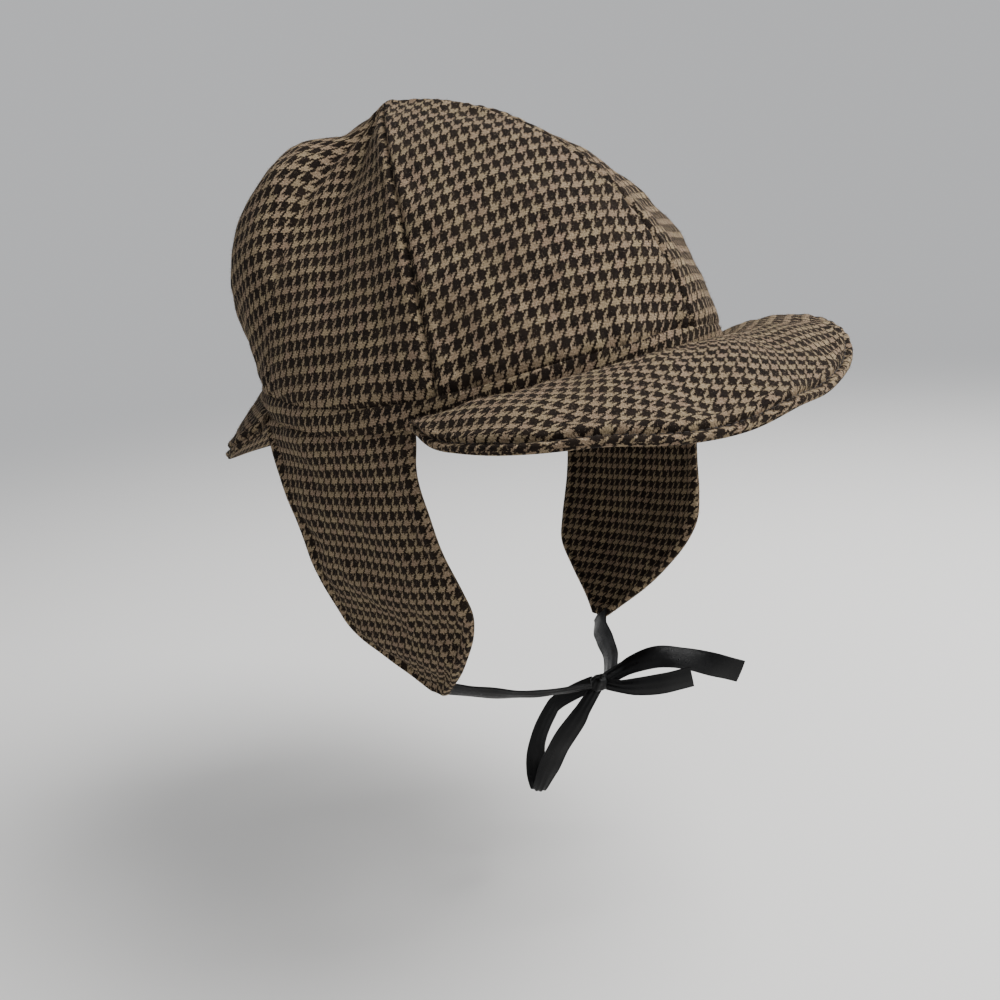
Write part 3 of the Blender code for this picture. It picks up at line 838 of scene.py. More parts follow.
def make_band():
    """The band as a closed ring, and its flat height and length."""
    bearings = np.linspace(-180, 180, BAND_STEPS + 1)
    turn = np.linspace(0, 1, BAND_ROWS)
    heights = BAND_HEIGHT * turn
    puff = BAND_PUFF * np.sin(np.pi * turn) ** BAND_PUFF_POWER
    outer, inner = (
        np.stack([band_point(np.full(BAND_ROWS, b), heights, out) for b in bearings])
        for out in (puff, -CLOTH)
    )
    normals = grid_normals(outer)
    normals[0] = normals[-1] = unit(normals[0] + normals[-1])
    along = lengths_along(outer, 0)[:, BAND_ROWS // 2]
    flat = np.stack(np.broadcast_arrays(along[:, None], heights[None, :]), -1)
    wave_height = ripple(flat, *BAND_WAVES, 5)
    ends = ease(np.minimum(along, along[-1] - along) / BAND_CALM_END)[:, None]
    outer = outer + normals * (wave_height * ends * np.sin(np.pi * turn))[..., None]
    rise = np.linalg.norm(np.diff(outer[0], axis=0), axis=-1).sum()
    c, s = np.cos(np.radians(BAND_TILT)), np.sin(np.radians(BAND_TILT))
    flat = flat @ np.array([[c, s], [-s, c]])
    return band_ring("band_tweed", outer, inner, flat), (float(rise), float(along[-1]))


def band_ring(name, outer, inner, flat):
    """A closed ring whose section is the outer and the inner rows."""
    section = np.concatenate([outer, inner[:, ::-1]], 1)[:-1]
    count, around = section.shape[:2]
    at = np.arange(count * around).reshape(count, around)
    following = np.roll(at, -1, 0)
    beside = np.roll(at, -1, 1)
    faces = np.stack([at, following, np.roll(following, -1, 1), beside], -1).reshape(-1, 4)
    data = bpy.data.meshes.new(name)
    data.from_pydata(section.reshape(-1, 3).tolist(), [], faces.tolist())
    places = data.uv_layers.new(name="cut")
    whole = np.concatenate([flat, flat[:, ::-1]], 1)
    rows = np.arange(count)[:, None]
    columns = np.arange(around)[None, :]
    nexts = (columns + 1) % around
    where = np.stack([
        whole[rows, columns], whole[rows + 1, columns], whole[rows + 1, nexts], whole[rows, nexts],
    ], 2)
    places.data.foreach_set("uv", where.reshape(-1))
    data.materials.append(band_tweed)
    data.materials.append(lining)
    inside = np.broadcast_to(columns >= outer.shape[1], at.shape).astype(int)
    data.polygons.foreach_set("material_index", inside.reshape(-1))
    return sewn_piece(name, data)


band_piece, band_size = make_band()
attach(band_piece, "root")
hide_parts("band")
add_nap(band_piece, 110)


# Peaks. Each is a curved stiffener between two layers of tweed, sewn round the rim and turned
# out. The top cloth is eased in along the rim, so the seam lies a little above the soft lower
# edge in a stitched groove, with small puckers beside it.

# How far each peak stands out, the half of the band it takes in degrees, how far it drops, how
# thick it is, how far it arches and how far it tilts
FRONT_REACH = 0.048
FRONT_HALF_SPAN = 60.0
FRONT_DROP = 0.016
FRONT_THICKNESS = 0.0075
FRONT_CAMBER = 0.0035
FRONT_TILT = 0.078
BACK_REACH = 0.030
BACK_HALF_SPAN = 60.0
BACK_DROP = 0.040
BACK_THICKNESS = 0.0070
BACK_CAMBER = 0.0008
PEAK_ROOT = 0.0050

# The padding's thickness from the band to the rim, and the share at which the rim turns round
PEAK_COLUMNS = 201
PEAK_ROWS = 57
PEAK_TURN_ROWS = 16
PEAK_TURN = 0.88
PEAK_KNOWN = (0.0, 0.18, 0.42, 0.68, PEAK_TURN)
PEAK_BULK = (0.92, 1.0, 1.0, 0.86)

# The seam above the rim, with its groove, rolls and puckers, and the groove along the band
PEAK_SEAM = 0.0034
PEAK_SEAM_DIP = 0.0017
PEAK_SEAM_WIDTH = 0.0009
PEAK_ROLLS = ((0.0007, 0.5, 0.0030, 0.0026), (0.0006, 0.4, -0.0020, 0.0015))
PEAK_PUCKERS = (0.007, 0.015)
PEAK_FOOT_DIP = 0.0007
PEAK_FOOT_WIDTH = 0.0020
PEAK_CALM = 0.006
PEAK_WAVES = ((0.034, 0.0006), (0.014, 0.0002))

# How the ends slim down and reach along the band, and how far the root tucks into it
PEAK_END_TAPER = 0.60
PEAK_END_REACH = 0.06
PEAK_TUCK = 0.0010

# Half the outline of each peak, from its middle to its end
Rim = namedtuple("Rim", "root side ahead drop")
FRONT_RIM = (
    Rim(0.00, 0.00, 1.00, 1.00),
    Rim(0.20, 0.15, 0.98, 1.05),
    Rim(0.40, 0.33, 0.98, 0.73),
    Rim(0.60, 0.44, 0.92, 0.24),
    Rim(0.75, 0.53, 0.81, 0.00),
    Rim(0.87, 0.48, 0.63, -0.12),
    Rim(0.94, 0.35, 0.46, -0.12),
    Rim(0.98, 0.22, 0.28, -0.05),
    Rim(1.00, 0.09, 0.09, 0.00),
)
BACK_RIM = (
    Rim(0.00, 0.00, 1.00, 1.00),
    Rim(0.25, 0.08, 1.00, 0.97),
    Rim(0.50, 0.22, 0.93, 0.88),
    Rim(0.70, 0.36, 0.78, 0.76),
    Rim(0.85, 0.38, 0.58, 0.60),
    Rim(0.95, 0.28, 0.36, 0.42),
    Rim(1.00, 0.10, 0.14, 0.25),
)

peak_tweed = make_tweed("peak_tweed", 0.0042, 0.0062)


def peak_profile(root, rim, thickness, camber, share):
    """Top and under lines of a padded section from the band out to a round rim."""
    thick = np.array([PEAK_ROOT / thickness, *PEAK_BULK])
    bulk = np.interp(share, PEAK_KNOWN, thick)
    end = np.clip((share - PEAK_TURN) / (1 - PEAK_TURN), 0, 1)
    turned = PEAK_BULK[-1] * np.sqrt(np.clip(1 - end**2, 0, 1))
    bulk = np.where(share > PEAK_TURN, turned, bulk)
    line = root + share[:, None] * (rim - root)
    line[:, 2] += camber * 4 * share * (1 - share)
    lift = np.array([0, 0, 1.0]) * (bulk * thickness / 2)[:, None]
    return line + lift, line - lift


def peak_grids(middle, half_span, reach, drop, thickness, camber, tilt, rows):
    """Top and under grids of a peak that stands out from the band about a middle bearing."""
    a = np.radians(middle)
    ahead = np.array([np.sin(a), -np.cos(a), 0.0])
    across = np.array([np.cos(a), np.sin(a), 0.0])
    rounding = np.sin(np.linspace(0, np.pi / 2, PEAK_TURN_ROWS))
    share = np.concatenate([
        np.linspace(0, PEAK_TURN, PEAK_ROWS - PEAK_TURN_ROWS, endpoint=False),
        PEAK_TURN + (1 - PEAK_TURN) * rounding,
    ])
    tops, unders = [], []
    for place in np.sin(np.linspace(-np.pi / 2, np.pi / 2, PEAK_COLUMNS)):
        size = abs(place)
        turned = place * (1 + PEAK_END_REACH * size**8)
        root = band_point(middle + turned * half_span, PEAK_ROOT / 2, BAND_PUFF - PEAK_TUCK)
        side = between(rows, "root", "side", size) * reach * np.sign(place)
        out = between(rows, "root", "ahead", size) * reach
        rim = root + across * side + ahead * out
        free = ease(2 * out / reach)
        slim = 1 - PEAK_END_TAPER * ease((size - 0.80) / 0.20)
        rim[2] = root[2] - between(rows, "root", "drop", size) * drop + tilt * free * rim[0]
        top, under = peak_profile(root, rim, thickness, camber * free, share)
        inside = (top + under) / 2
        tops.append(inside + (top - inside) * slim)
        unders.append(inside + (under - inside) * slim)
    return np.array(tops), np.array(unders)


STITCH_LIFT = 0.0002
STITCH_SPACING = 0.0029
STITCH_LENGTH = 0.0023
STITCH_THICKNESS = 0.00045


def make_peak(name, node, grids, rise, lean, cloth, seed):
    """A peak with its groove, puckers and soft waves, and the line of its seam's stitches."""
    top, under = grids
    back = lengths_along(top[:, ::-1], 1)[:, ::-1]
    start = lengths_along(top, 1)
    rim = top[:, -1:]
    along = lengths_along(rim, 0)
    normals = grid_normals(top)
    normals = normals * np.sign(normals[len(top) // 2, PEAK_ROWS // 2, 2])
    flat = cut_to_grain(top[:, :-1], (0.5, 0.5), rise, lean=lean)
    last = 2 * flat[:, -1:] - flat[:, -2:-1]
    flat = np.concatenate([flat, last], 1) * np.array([1, -1])
    pucker = puckers(along, *PEAK_PUCKERS, np.random.default_rng(seed)) / 3
    away = back - PEAK_SEAM
    raised = -PEAK_SEAM_DIP * hill(away, 0.0, PEAK_SEAM_WIDTH)
    for height, gathered, place, width in PEAK_ROLLS:
        raised = raised + height * (1 + gathered * pucker) * hill(away, place, width)
    raised = raised - PEAK_FOOT_DIP * hill(start, 0.0, PEAK_FOOT_WIDTH)
    calm = ease(back / PEAK_CALM) * ease(start / PEAK_CALM)
    for step, (size, height) in enumerate(PEAK_WAVES):
        raised = raised + calm * ripple(flat, size, height, seed + 1 + step)
    length = back[:, :1]
    top = top + normals * (raised * ease(length / 0.02))[..., None]
    under_flat = flat * np.array([-1, 1]) + 0.0021
    piece = sewn_shell(name, top, under, flat, cloth, cloth, under_flat)
    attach(piece, "root")
    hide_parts(node)
    add_nap(piece, seed + 5)
    seam = np.argmin(np.abs(away), axis=1)
    sewn = [i for i in range(len(top)) if length[i, 0] >= 1.6 * PEAK_SEAM]
    return np.array([top[i, seam[i]] + normals[i, seam[i]] * STITCH_LIFT for i in sewn])


front_grids = peak_grids(
    0.0, FRONT_HALF_SPAN, FRONT_REACH, FRONT_DROP, FRONT_THICKNESS, FRONT_CAMBER, FRONT_TILT,
    FRONT_RIM,
)
back_grids = peak_grids(
    BACK_SEAM, BACK_HALF_SPAN, BACK_REACH, BACK_DROP, BACK_THICKNESS, BACK_CAMBER, 0.0, BACK_RIM,
)
front_line = make_peak("front_peak_tweed", "front_peak", front_grids, 28.7, -2.0, peak_tweed, 61)
back_line = make_peak("back_peak_tweed", "back_peak", back_grids, 0.0, 0.0, band_tweed, 71)


def make_stitches():
    """Stitches of one length in a row along a line, each a little sunk ellipsoid of thread."""
    tree, given = shape_group("stitches", (
        ("Spacing", "NodeSocketFloat"), ("Length", "NodeSocketFloat"),
        ("Thickness", "NodeSocketFloat"), ("Thread", "NodeSocketMaterial"),
    ))
    line = fed_node(tree, "GeometryNodeMeshToCurve", {0: given["Geometry"]})
    points = fed_node(tree, "GeometryNodeCurveToPoints", {
        "Curve": line.outputs[0], "Length": given["Spacing"],
    }, mode="LENGTH")
    bead = fed_node(tree, "GeometryNodeMeshUVSphere", {"Segments": 8, "Rings": 5, "Radius": 0.5})
    size = fed_node(tree, "ShaderNodeCombineXYZ", {
        0: given["Thickness"], 1: given["Thickness"], 2: given["Length"],
    })
    sized = fed_node(tree, "GeometryNodeTransform", {
        "Geometry": bead.outputs["Mesh"], "Scale": size.outputs[0],
    })
    placed = fed_node(tree, "GeometryNodeInstanceOnPoints", {
        "Points": points.outputs["Points"], "Instance": sized.outputs[0],
        "Rotation": points.outputs["Rotation"],
    })
    return finish_shapes(tree, placed.outputs[0], given["Thread"])


def make_thread():
    """Dark brown sewing thread, with the turns of its strands."""
    made, tree, shader = start_material("brown_thread")
    strand = cloud(tree, tree.nodes.new("ShaderNodeTexCoord").outputs["Object"], 2500.0, 2.0, 0.6)
    shade = blend(tree, strand, (0.010, 0.007, 0.006, 1), (0.045, 0.030, 0.022, 1))
    rough = ramp(tree, strand, 0.3, 0.7, 0.55, 0.75)
    finish_material(tree, shader, shade, rough, strand, 0.4, 0.00005)
    return made


stitches = make_stitches()
brown_thread = make_thread()


def stitch_along(name, line):
    """A row of stitches along a line of points, as one plain mesh."""
    data = bpy.data.meshes.new(name + "_line")
    data.from_pydata(line.tolist(), [(i, i + 1) for i in range(len(line) - 1)], [])
    guide = bpy.data.objects.new(name + "_line", data)
    bpy.context.scene.collection.objects.link(guide)
    row = made_along(guide, stitches, {
        "Spacing": STITCH_SPACING, "Length": STITCH_LENGTH, "Thickness": STITCH_THICKNESS,
        "Thread": brown_thread,
    }, name)
    bpy.data.objects.remove(guide, do_unlink=True)
    row.data.shade_smooth()


stitch_along("front_peak_stitches", front_line)
stitch_along("back_peak_stitches", back_line)


# Ear flaps. Two layers of the tweed sewn round the edge and turned out, so the edge is soft and
# full. Each hangs from the band's lower edge and draws in towards the jaw.

# How far the flaps hang and how wide they are, how they draw in towards the jaw and turn flat
FLAP_DROP = 0.118
FLAP_LENGTH = 0.103
FLAP_DRAW_IN = 0.0374
FLAP_DRAW_POWER = 2.2
FLAP_FLATNESS = 0.32
FLAP_FLAT_DEPTH = 0.0236

# The two layers with their turned edge, its roll and groove, the hem at the band, the waves,
# and how far the top tucks into the band
FLAP_CLOTH = 0.0032
FLAP_TURN = 0.0035
FLAP_THIN_EDGE = 0.12
FLAP_EDGE_ROLL = 0.0009
FLAP_EDGE_ROLL_AWAY = 0.0030
FLAP_EDGE_ROLL_WIDTH = 0.0022
FLAP_GROOVE = 0.0006
FLAP_GROOVE_AWAY = 0.0070
FLAP_GROOVE_WIDTH = 0.0014
FLAP_HEM = 0.0012
FLAP_HEM_WIDTH = 0.0018
FLAP_BELLY = 0.0008
FLAP_BELLY_AWAY = 0.010
FLAP_BELLY_WIDTH = 0.008
FLAP_CALM = 0.006
FLAP_WAVES = ((0.040, 0.0009), (0.016, 0.0003))
FLAP_TUCK = 0.0004

# The flap's front and back edge at several depths, as shares of its size
Level = namedtuple("Level", "depth front back")
FLAP_LEVELS = (
    Level(0.000, -0.437, 0.520),
    Level(0.120, -0.445, 0.405),
    Level(0.240, -0.478, 0.320),
    Level(0.380, -0.503, 0.296),
    Level(0.510, -0.540, 0.282),
    Level(0.590, -0.550, 0.277),
    Level(0.670, -0.515, 0.268),
    Level(0.770, -0.430, 0.236),
    Level(0.860, -0.335, 0.130),
    Level(0.955, -0.210, -0.010),
    Level(1.000, -0.150, -0.070),
)

FLAP_LONG = 121
FLAP_WIDE = 97
flap_tweed = make_tweed("flap_tweed", 0.0041, 0.0054)


def flap_surface(y, drop):
    """How far out an ear flap lies at a place along the hat and a depth below the band."""
    sink = max(drop / FLAP_DROP, 0.0) ** FLAP_DRAW_POWER
    wide = BAND_WIDTH / 2 - FLAP_DRAW_IN * sink
    flat = ease(drop / FLAP_FLAT_DEPTH)
    long = BAND_LENGTH / 2 * (1 + FLAP_FLATNESS * flat)
    return wide * np.sqrt(np.clip(1 - (y / long) ** 2, 0.05, 1))


def flap_top(y):
    """Height of the band's lower edge above a place along the hat's side."""
    return np.where(y < 0, FRONT_ARCH, BACK_ARCH) * (y / (BAND_LENGTH / 2)) ** 2


def make_flap(name, node, side, seed):
    """One flap: its surface down to the tip, its turned edge, waves and nap."""
    depths = np.sin(np.linspace(0, np.pi / 2, FLAP_LONG))
    shares = (1 - np.cos(np.linspace(0, np.pi, FLAP_WIDE))) / 2
    shares = shares * 0.6 + np.linspace(0, 1, FLAP_WIDE) * 0.4
    middle = np.zeros((FLAP_WIDE, FLAP_LONG, 3))
    for k, depth in enumerate(depths):
        front = between(FLAP_LEVELS, "depth", "front", depth) * FLAP_LENGTH
        back = between(FLAP_LEVELS, "depth", "back", depth) * FLAP_LENGTH
        y = front + (back - front) * shares
        z = (flap_top(y) + FLAP_TUCK) * (1 - depth) - depth * FLAP_DROP
        for i in range(FLAP_WIDE):
            out = flap_surface(y[i], -z[i]) - FLAP_CLOTH / 2
            middle[i, k] = (side * out, y[i], z[i])
    normals = grid_normals(middle)
    normals = normals * (side * np.sign(normals[FLAP_WIDE // 2, FLAP_LONG // 2, 0]))
    if side < 0:
        middle, normals = middle[::-1], normals[::-1]
    middle, normals = middle[:, ::-1], normals[:, ::-1]
    flat = cut_to_grain(middle, (0.5, 0.6), 4.0 * -side)
    first, last = edge_distances(middle)
    tip = lengths_along(middle, 1)
    edge = np.minimum(np.minimum(first, last), tip)
    rounding = np.sqrt(np.clip(1 - (1 - np.clip(edge / FLAP_TURN, 0, 1)) ** 2, 0, 1))
    half = FLAP_CLOTH / 2 * (FLAP_THIN_EDGE + (1 - FLAP_THIN_EDGE) * rounding)
    full = half + FLAP_EDGE_ROLL * hill(edge, FLAP_EDGE_ROLL_AWAY, FLAP_EDGE_ROLL_WIDTH)
    full = full - FLAP_GROOVE * hill(edge, FLAP_GROOVE_AWAY, FLAP_GROOVE_WIDTH)
    top = tip[:, -1:] - tip
    full = full - FLAP_HEM * hill(top, 0.0, FLAP_HEM_WIDTH)
    bent = ease(top / FLAP_CALM) * FLAP_BELLY * hill(top, FLAP_BELLY_AWAY, FLAP_BELLY_WIDTH)
    for step, (size, height) in enumerate(FLAP_WAVES):
        bent = bent + ease(edge / FLAP_CALM) * ripple(flat, size, height, seed + step)
    outer = middle + normals * (full + bent)[..., None]
    inner = middle - normals * (full - bent)[..., None]
    other_flat = flat * np.array([-1, 1]) + 0.0017
    piece = sewn_shell(name, outer, inner, flat, flap_tweed, flap_tweed, other_flat)
    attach(piece, "root")
    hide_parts(node)
    add_nap(piece, seed + 5)


make_flap("ear_flap_right_tweed", "ear_flap_right", -1, 81)
make_flap("ear_flap_left_tweed", "ear_flap_left", 1, 91)


# Ribbon. One length of black satin ribbon is sewn inside the tip of each flap, and the two are
# tied under the chin in a bow with one hanging loop and two cut tails.

# The ribbon, the knot and its place under the chin, the loop and tails, and how the bow hangs
RIBBON_WIDTH = 0.010
RIBBON_THICKNESS = 0.0010
KNOT_FORWARD = 0.0545
KNOT_DROP = 0.122
KNOT_SIZE = 0.0085
KNOT_GAP = 0.0012
LOOP_LENGTH = 0.055
LONG_TAIL = 0.065
SHORT_TAIL = 0.042
BOW_BEARING = 45.0
HANG_TILT = 9.0

# The satin as it is shown: its thickness, its points across, and how it curls, flutes and pleats
RIBBON_SHEET = 0.0006
RIBBON_POINTS = 11
RIBBON_CURL = 0.10
RIBBON_GATHER = 0.5
RIBBON_FLUTES = (0.012, 0.03)
RIBBON_FLUTE = 0.00012
RIBBON_PLEAT = 0.0007

# The bends of the loop and the tails: place, turn and lean of the ribbon, and share of its width
Bend = namedtuple("Bend", "at across rise out turn lean width")
LOOP_BENDS = (
    Bend(0.00, -0.09, -0.12, 0.05, -20, 25, 0.45),
    Bend(0.12, -0.16, -0.26, 0.08, -28, 15, 0.80),
    Bend(0.27, -0.28, -0.48, 0.09, -35, 0, 0.95),
    Bend(0.40, -0.37, -0.74, 0.07, -15, 0, 0.90),
    Bend(0.49, -0.43, -0.96, 0.03, -10, 0, 0.60),
    Bend(0.52, -0.44, -0.98, -0.02, -10, 0, 0.60),
    Bend(0.60, -0.46, -0.84, -0.07, -15, 0, 0.85),
    Bend(0.75, -0.44, -0.54, -0.10, -25, 45, 0.85),
    Bend(1.00, -0.28, -0.14, -0.13, -35, 60, 0.70),
)
LONG_BENDS = (
    Bend(0.00, 0.11, 0.03, -0.05, 75, -35, 0.50),
    Bend(0.20, 0.22, 0.09, -0.06, 80, -45, 0.80),
    Bend(0.40, 0.38, 0.13, -0.06, 95, -40, 0.95),
    Bend(0.60, 0.56, 0.11, -0.05, 85, -50, 0.95),
    Bend(0.80, 0.75, 0.05, -0.04, 80, -20, 1.00),
    Bend(1.00, 0.94, -0.02, -0.04, 70, 0, 1.00),
)
SHORT_BENDS = (
    Bend(0.00, 0.15, -0.03, 0.05, 85, -20, 0.45),
    Bend(0.30, 0.36, -0.02, 0.10, 90, -20, 0.75),
    Bend(0.65, 0.64, 0.00, 0.11, 90, -10, 0.90),
    Bend(1.00, 0.92, 0.05, 0.10, 90, 0, 0.95),
)

# The course of a tie from the flap to the knot
Course = namedtuple("Course", "at ahead sink lean width")
TIE_COURSE = (
    Course(0.00, 0.00, 0.00, 35, 0.95),
    Course(0.25, 0.05, 0.02, 40, 0.90),
    Course(0.50, 0.08, 0.03, 45, 0.80),
    Course(0.75, 0.05, 0.02, 45, 0.75),
    Course(1.00, 0.00, 0.00, 42, 0.50),
)


def make_satin():
    """Black satin, its close ribs across the ribbon and a fine selvedge along both edges."""
    made, tree, shader = start_material("black_satin")
    places = cut_places(tree)
    split = parts_of(tree, places)
    ribs = wave(tree, split[1], 0.00045)
    threads = wave(tree, split[0], 0.00030)
    off = reckon(tree, "ABSOLUTE", split[0])
    selvedge = ramp(tree, off, RIBBON_WIDTH * 0.43, RIBBON_WIDTH * 0.46)
    streak = cloud(tree, places, 500.0, 3.0, 0.6)
    shade = blend(tree, streak, (0.0008, 0.0008, 0.001, 1), (0.003, 0.003, 0.0035, 1))
    rough = ramp(tree, streak, 0.3, 0.7, 0.27, 0.38)
    rough = reckon(tree, "MULTIPLY_ADD", selvedge, 0.2, rough)
    height = reckon(tree, "MULTIPLY_ADD", threads, 0.4, ribs)
    height = reckon(tree, "MULTIPLY_ADD", selvedge, 1.5, height)
    finish_material(tree, shader, shade, rough, height, 0.5, 0.00005)
    shader.inputs["Specular IOR Level"].default_value = 0.20
    return made


black_satin = make_satin()
knot = np.array([0.0, -KNOT_FORWARD, -KNOT_DROP])


def make_ribbon(name, node, path, widths, seed):
    """A thin ribbon along a path, gently hollow across, from its half widths at each point."""
    chance = np.random.default_rng(seed)
    last = len(path) - 1
    steps = np.linalg.norm(np.diff(path, axis=0), axis=-1)
    along = np.concatenate([[0.0], np.cumsum(steps)])
    waves = [(chance.uniform(*RIBBON_FLUTES), chance.uniform(0, WHOLE_TURN)) for _ in range(3)]
    outer, inner, flat = [], [], []
    strip = np.linspace(-1, 1, RIBBON_POINTS)
    for i, p in enumerate(path):
        ahead = unit(path[min(i + 1, last)] - path[max(i - 1, 0)])
        size = np.linalg.norm(widths[i])
        half = unit(widths[i] - ahead * np.dot(widths[i], ahead))
        thin = unit(np.cross(half, ahead))
        narrow = 1 - size / (RIBBON_WIDTH / 2)
        hollow = (RIBBON_CURL + RIBBON_GATHER * narrow) * size * strip**2
        flute = sum(np.sin(2 * np.pi * along[i] / a + b) for a, b in waves) * RIBBON_FLUTE * strip
        pleat = RIBBON_PLEAT * np.clip(narrow, 0, 1) * np.cos(3 * np.pi * strip)
        lift = hollow + flute + pleat
        line = p + half * (strip * size)[:, None] + thin * lift[:, None]
        outer.append(line + thin * RIBBON_SHEET / 2)
        inner.append(line - thin * RIBBON_SHEET / 2)
        flat.append(np.stack([strip * RIBBON_WIDTH / 2, np.full(RIBBON_POINTS, along[i])], -1))
    outer, inner, flat = (np.swapaxes(np.array(x), 0, 1) for x in (outer, inner, flat))
    piece = sewn_shell(name, outer, inner, flat, black_satin, black_satin)
    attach(piece, "root")
    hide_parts(node)
    size = (RIBBON_WIDTH, float(along[-1]))


def make_bow_ribbon(name, node, length, bends, count, seed):
    """The loop or a tail of the bow, drawn in to the knot at its sewn ends."""
    a = np.radians(BOW_BEARING)
    tilt = np.radians(HANG_TILT)
    across = np.array([np.cos(a), -np.sin(a), 0.0])
    rise = np.array([0.0, -np.sin(tilt), np.cos(tilt)])
    out = unit(np.cross(across, rise))
    path, widths = [], []
    for at in np.linspace(0, 1, count):
        row = {c: float(between(bends, "at", c, at)) for c in Bend._fields}
        turn, lean = np.radians(row["turn"]), np.radians(row["lean"])
        place = across * row["across"] + rise * row["rise"] + out * row["out"]
        near = ease(min(at, 1 - at) / 0.08) if bends is LOOP_BENDS else ease(at / 0.10)
        path.append(knot + place * length * (0.15 + 0.85 * near))
        wide = (across * np.cos(turn) + rise * np.sin(turn)) * np.cos(lean) + out * np.sin(lean)
        widths.append(wide * RIBBON_WIDTH / 2 * row["width"])
    make_ribbon(name, node, np.array(path), widths, seed)


TIE_POINTS = 81
TIE_SEWN_SHARE = 0.15


def make_tie(name, node, side, seed):
    """A tie from inside a flap's tip to the knot."""
    y = FLAP_LENGTH * (FLAP_LEVELS[-1].front + FLAP_LEVELS[-1].back) / 2
    tip_x = flap_surface(y, FLAP_DROP) - FLAP_CLOTH - RIBBON_THICKNESS * 2
    start = np.array([side * tip_x, y, -FLAP_DROP - RIBBON_WIDTH / 10])
    end = knot + np.array([side * (KNOT_SIZE / 2 + KNOT_GAP), 0.0, 0.0])
    sewn_in = np.array([side * (FLAP_CLOTH / 2 + RIBBON_THICKNESS * 2), 0.0, RIBBON_WIDTH * 0.2])
    length = np.linalg.norm(end - start)
    path, widths = [], []
    for at in np.linspace(0, 1, TIE_POINTS):
        row = {c: float(between(TIE_COURSE, "at", c, at)) for c in Course._fields}
        off = np.array([0.0, -row["ahead"], -row["sink"]]) * length
        lean = np.radians(row["lean"])
        path.append(start + (end - start) * at + off + sewn_in * (1 - ease(at / TIE_SEWN_SHARE)))
        wide = np.array([side * 0.5 * np.sin(lean), -np.sin(lean), np.cos(lean)])
        widths.append(wide * RIBBON_WIDTH / 2 * row["width"])
    make_ribbon(name, node, np.array(path), widths, seed)


make_tie("tie_right_satin", "tie_ribbon_right", -1, 101)
make_tie("tie_left_satin", "tie_ribbon_left", 1, 102)
make_bow_ribbon("bow_loop_satin", "bow_loop", LOOP_LENGTH, LOOP_BENDS, 161, 103)
make_bow_ribbon("bow_tail_long_satin", "bow_tail_long", LONG_TAIL, LONG_BENDS, 121, 104)
make_bow_ribbon("bow_tail_short_satin", "bow_tail_short", SHORT_TAIL, SHORT_BENDS, 91, 105)


def make_knot():
    """The hard little knot, wrapped ribbon with its creases."""
    rings, turns = 25, 48
    height = np.linspace(-1, 1, rings)
    points = []
    for h in height:
        ring = np.sqrt(max(1 - h**4, 0.0))
        for t in np.linspace(0, 2 * np.pi, turns, endpoint=False):
            crease = 1 + 0.10 * np.sin(3 * t + 2.2 * h) + 0.05 * np.sin(7 * t - 3 * h)
            points.append((ring * crease * np.cos(t), ring * crease * np.sin(t), h))
    points = np.array(points) * KNOT_SIZE / 2 * np.array([1.0, 0.75, 0.80]) + knot
    mesh = bmesh.new()
    verts = [mesh.verts.new(p) for p in points]
    places = mesh.loops.layers.uv.new("cut")
    for i in range(rings - 1):
        for k in range(turns):
            n = (k + 1) % turns
            face = mesh.faces.new((
                verts[i * turns + k], verts[i * turns + n],
                verts[(i + 1) * turns + n], verts[(i + 1) * turns + k],
            ))
            corners = ((k, i), (k + 1, i), (k + 1, i + 1), (k, i + 1))
            for loop, (u, v) in zip(face.loops, corners):
                loop[places].uv = (v / rings * 0.008 - 0.004, u / turns * 0.022)
    bmesh.ops.remove_doubles(mesh, verts=mesh.verts, dist=1e-6)
    data = bpy.data.meshes.new("bow_knot_satin")
    mesh.to_mesh(data)
    mesh.free()
    data.materials.append(black_satin)
    piece = sewn_piece("bow_knot_satin", data)
    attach(piece, "root")
    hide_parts("bow_knot")


make_knot()


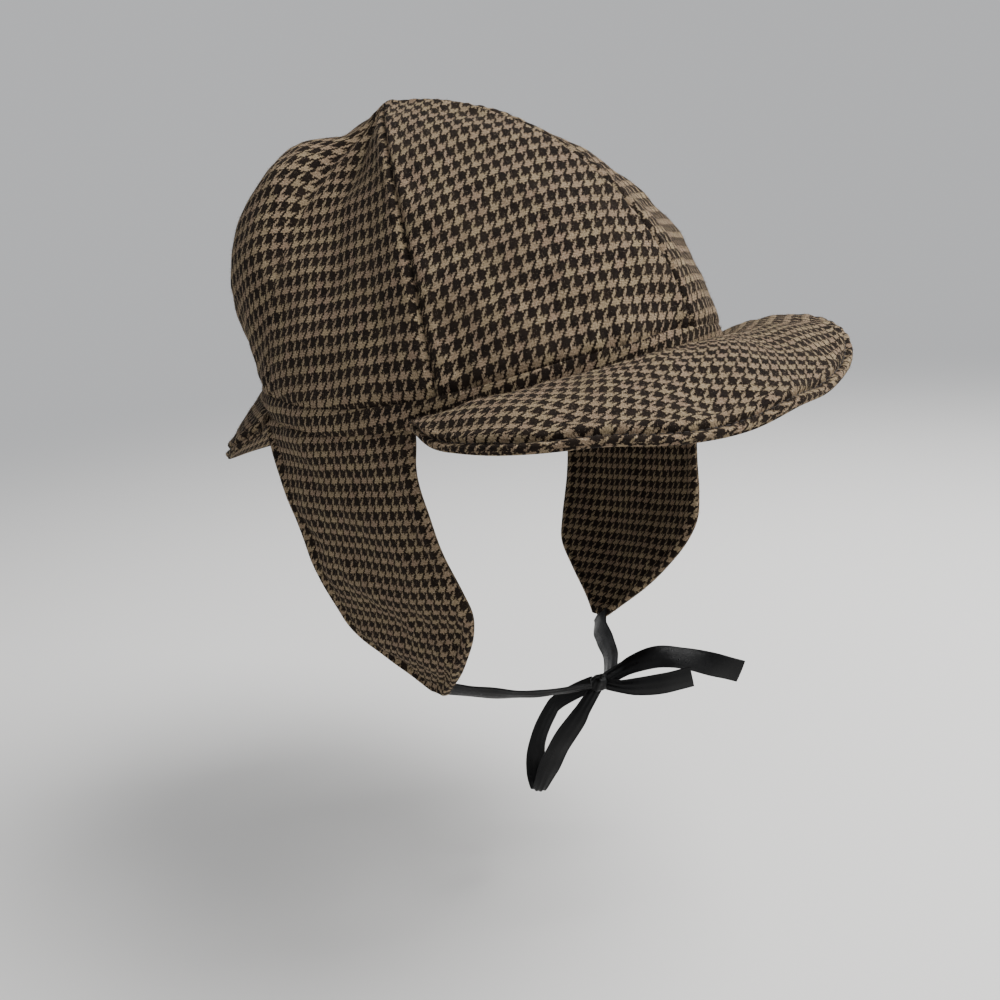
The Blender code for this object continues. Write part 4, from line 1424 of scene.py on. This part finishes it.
# Floor and light. A plain pale floor that runs on into a plain pale surround, a broad soft light
# above and ahead, and a weak one from the side.
FLOOR_LEVEL = -0.21
SURROUND = (0.78, 0.79, 0.81)
SURROUND_STRENGTH = 0.72
world = bpy.data.worlds.new("surround")
bpy.context.scene.world = world
world.use_nodes = True
world.node_tree.nodes["Background"].inputs["Color"].default_value = (*SURROUND, 1)
world.node_tree.nodes["Background"].inputs["Strength"].default_value = SURROUND_STRENGTH

floor_mesh = bmesh.new()
bmesh.ops.create_circle(floor_mesh, cap_ends=True, segments=96, radius=9.0)
bmesh.ops.translate(floor_mesh, vec=(0, 0, FLOOR_LEVEL), verts=floor_mesh.verts)
floor_data = bpy.data.meshes.new("floor")
floor_mesh.to_mesh(floor_data)
floor_mesh.free()
floor = bpy.data.objects.new("floor", floor_data)
bpy.context.scene.collection.objects.link(floor)
floor_paint, tree, shader = start_material("floor_paint")
shader.inputs["Base Color"].default_value = (0.80, 0.79, 0.77, 1)
shader.inputs["Roughness"].default_value = 0.9
glow = tree.nodes.new("ShaderNodeEmission")
glow.inputs["Color"].default_value = (*SURROUND, 1)
glow.inputs["Strength"].default_value = SURROUND_STRENGTH
reach = tree.nodes.new("ShaderNodeVectorMath")
reach.operation = "LENGTH"
feed(tree, reach.inputs[0], tree.nodes.new("ShaderNodeTexCoord").outputs["Object"])
both = tree.nodes.new("ShaderNodeMixShader")
feed(tree, both.inputs[0], ramp(tree, reach.outputs["Value"], 0.35, 1.6))
feed(tree, both.inputs[1], shader.outputs[0])
feed(tree, both.inputs[2], glow.outputs[0])
feed(tree, tree.nodes["Material Output"].inputs["Surface"], both.outputs[0])
floor_data.materials.append(floor_paint)

for label, power, size, side, rise, back in (
    ("overhead", 34.0, 0.9, 0.70, 1.15, 0.30),
    ("side", 5.0, 0.9, 1.20, 0.30, 0.40),
):
    lamp = bpy.data.lights.new(label, "AREA")
    lamp.energy = power
    lamp.size = size
    light = bpy.data.objects.new(label, lamp)
    bpy.context.scene.collection.objects.link(light)
    place = camera_right * side + camera_up * rise + camera_back * back
    turned = place.to_track_quat("Z", "Y").to_matrix().to_4x4()
    light.matrix_world = Matrix.Translation(place) @ turned
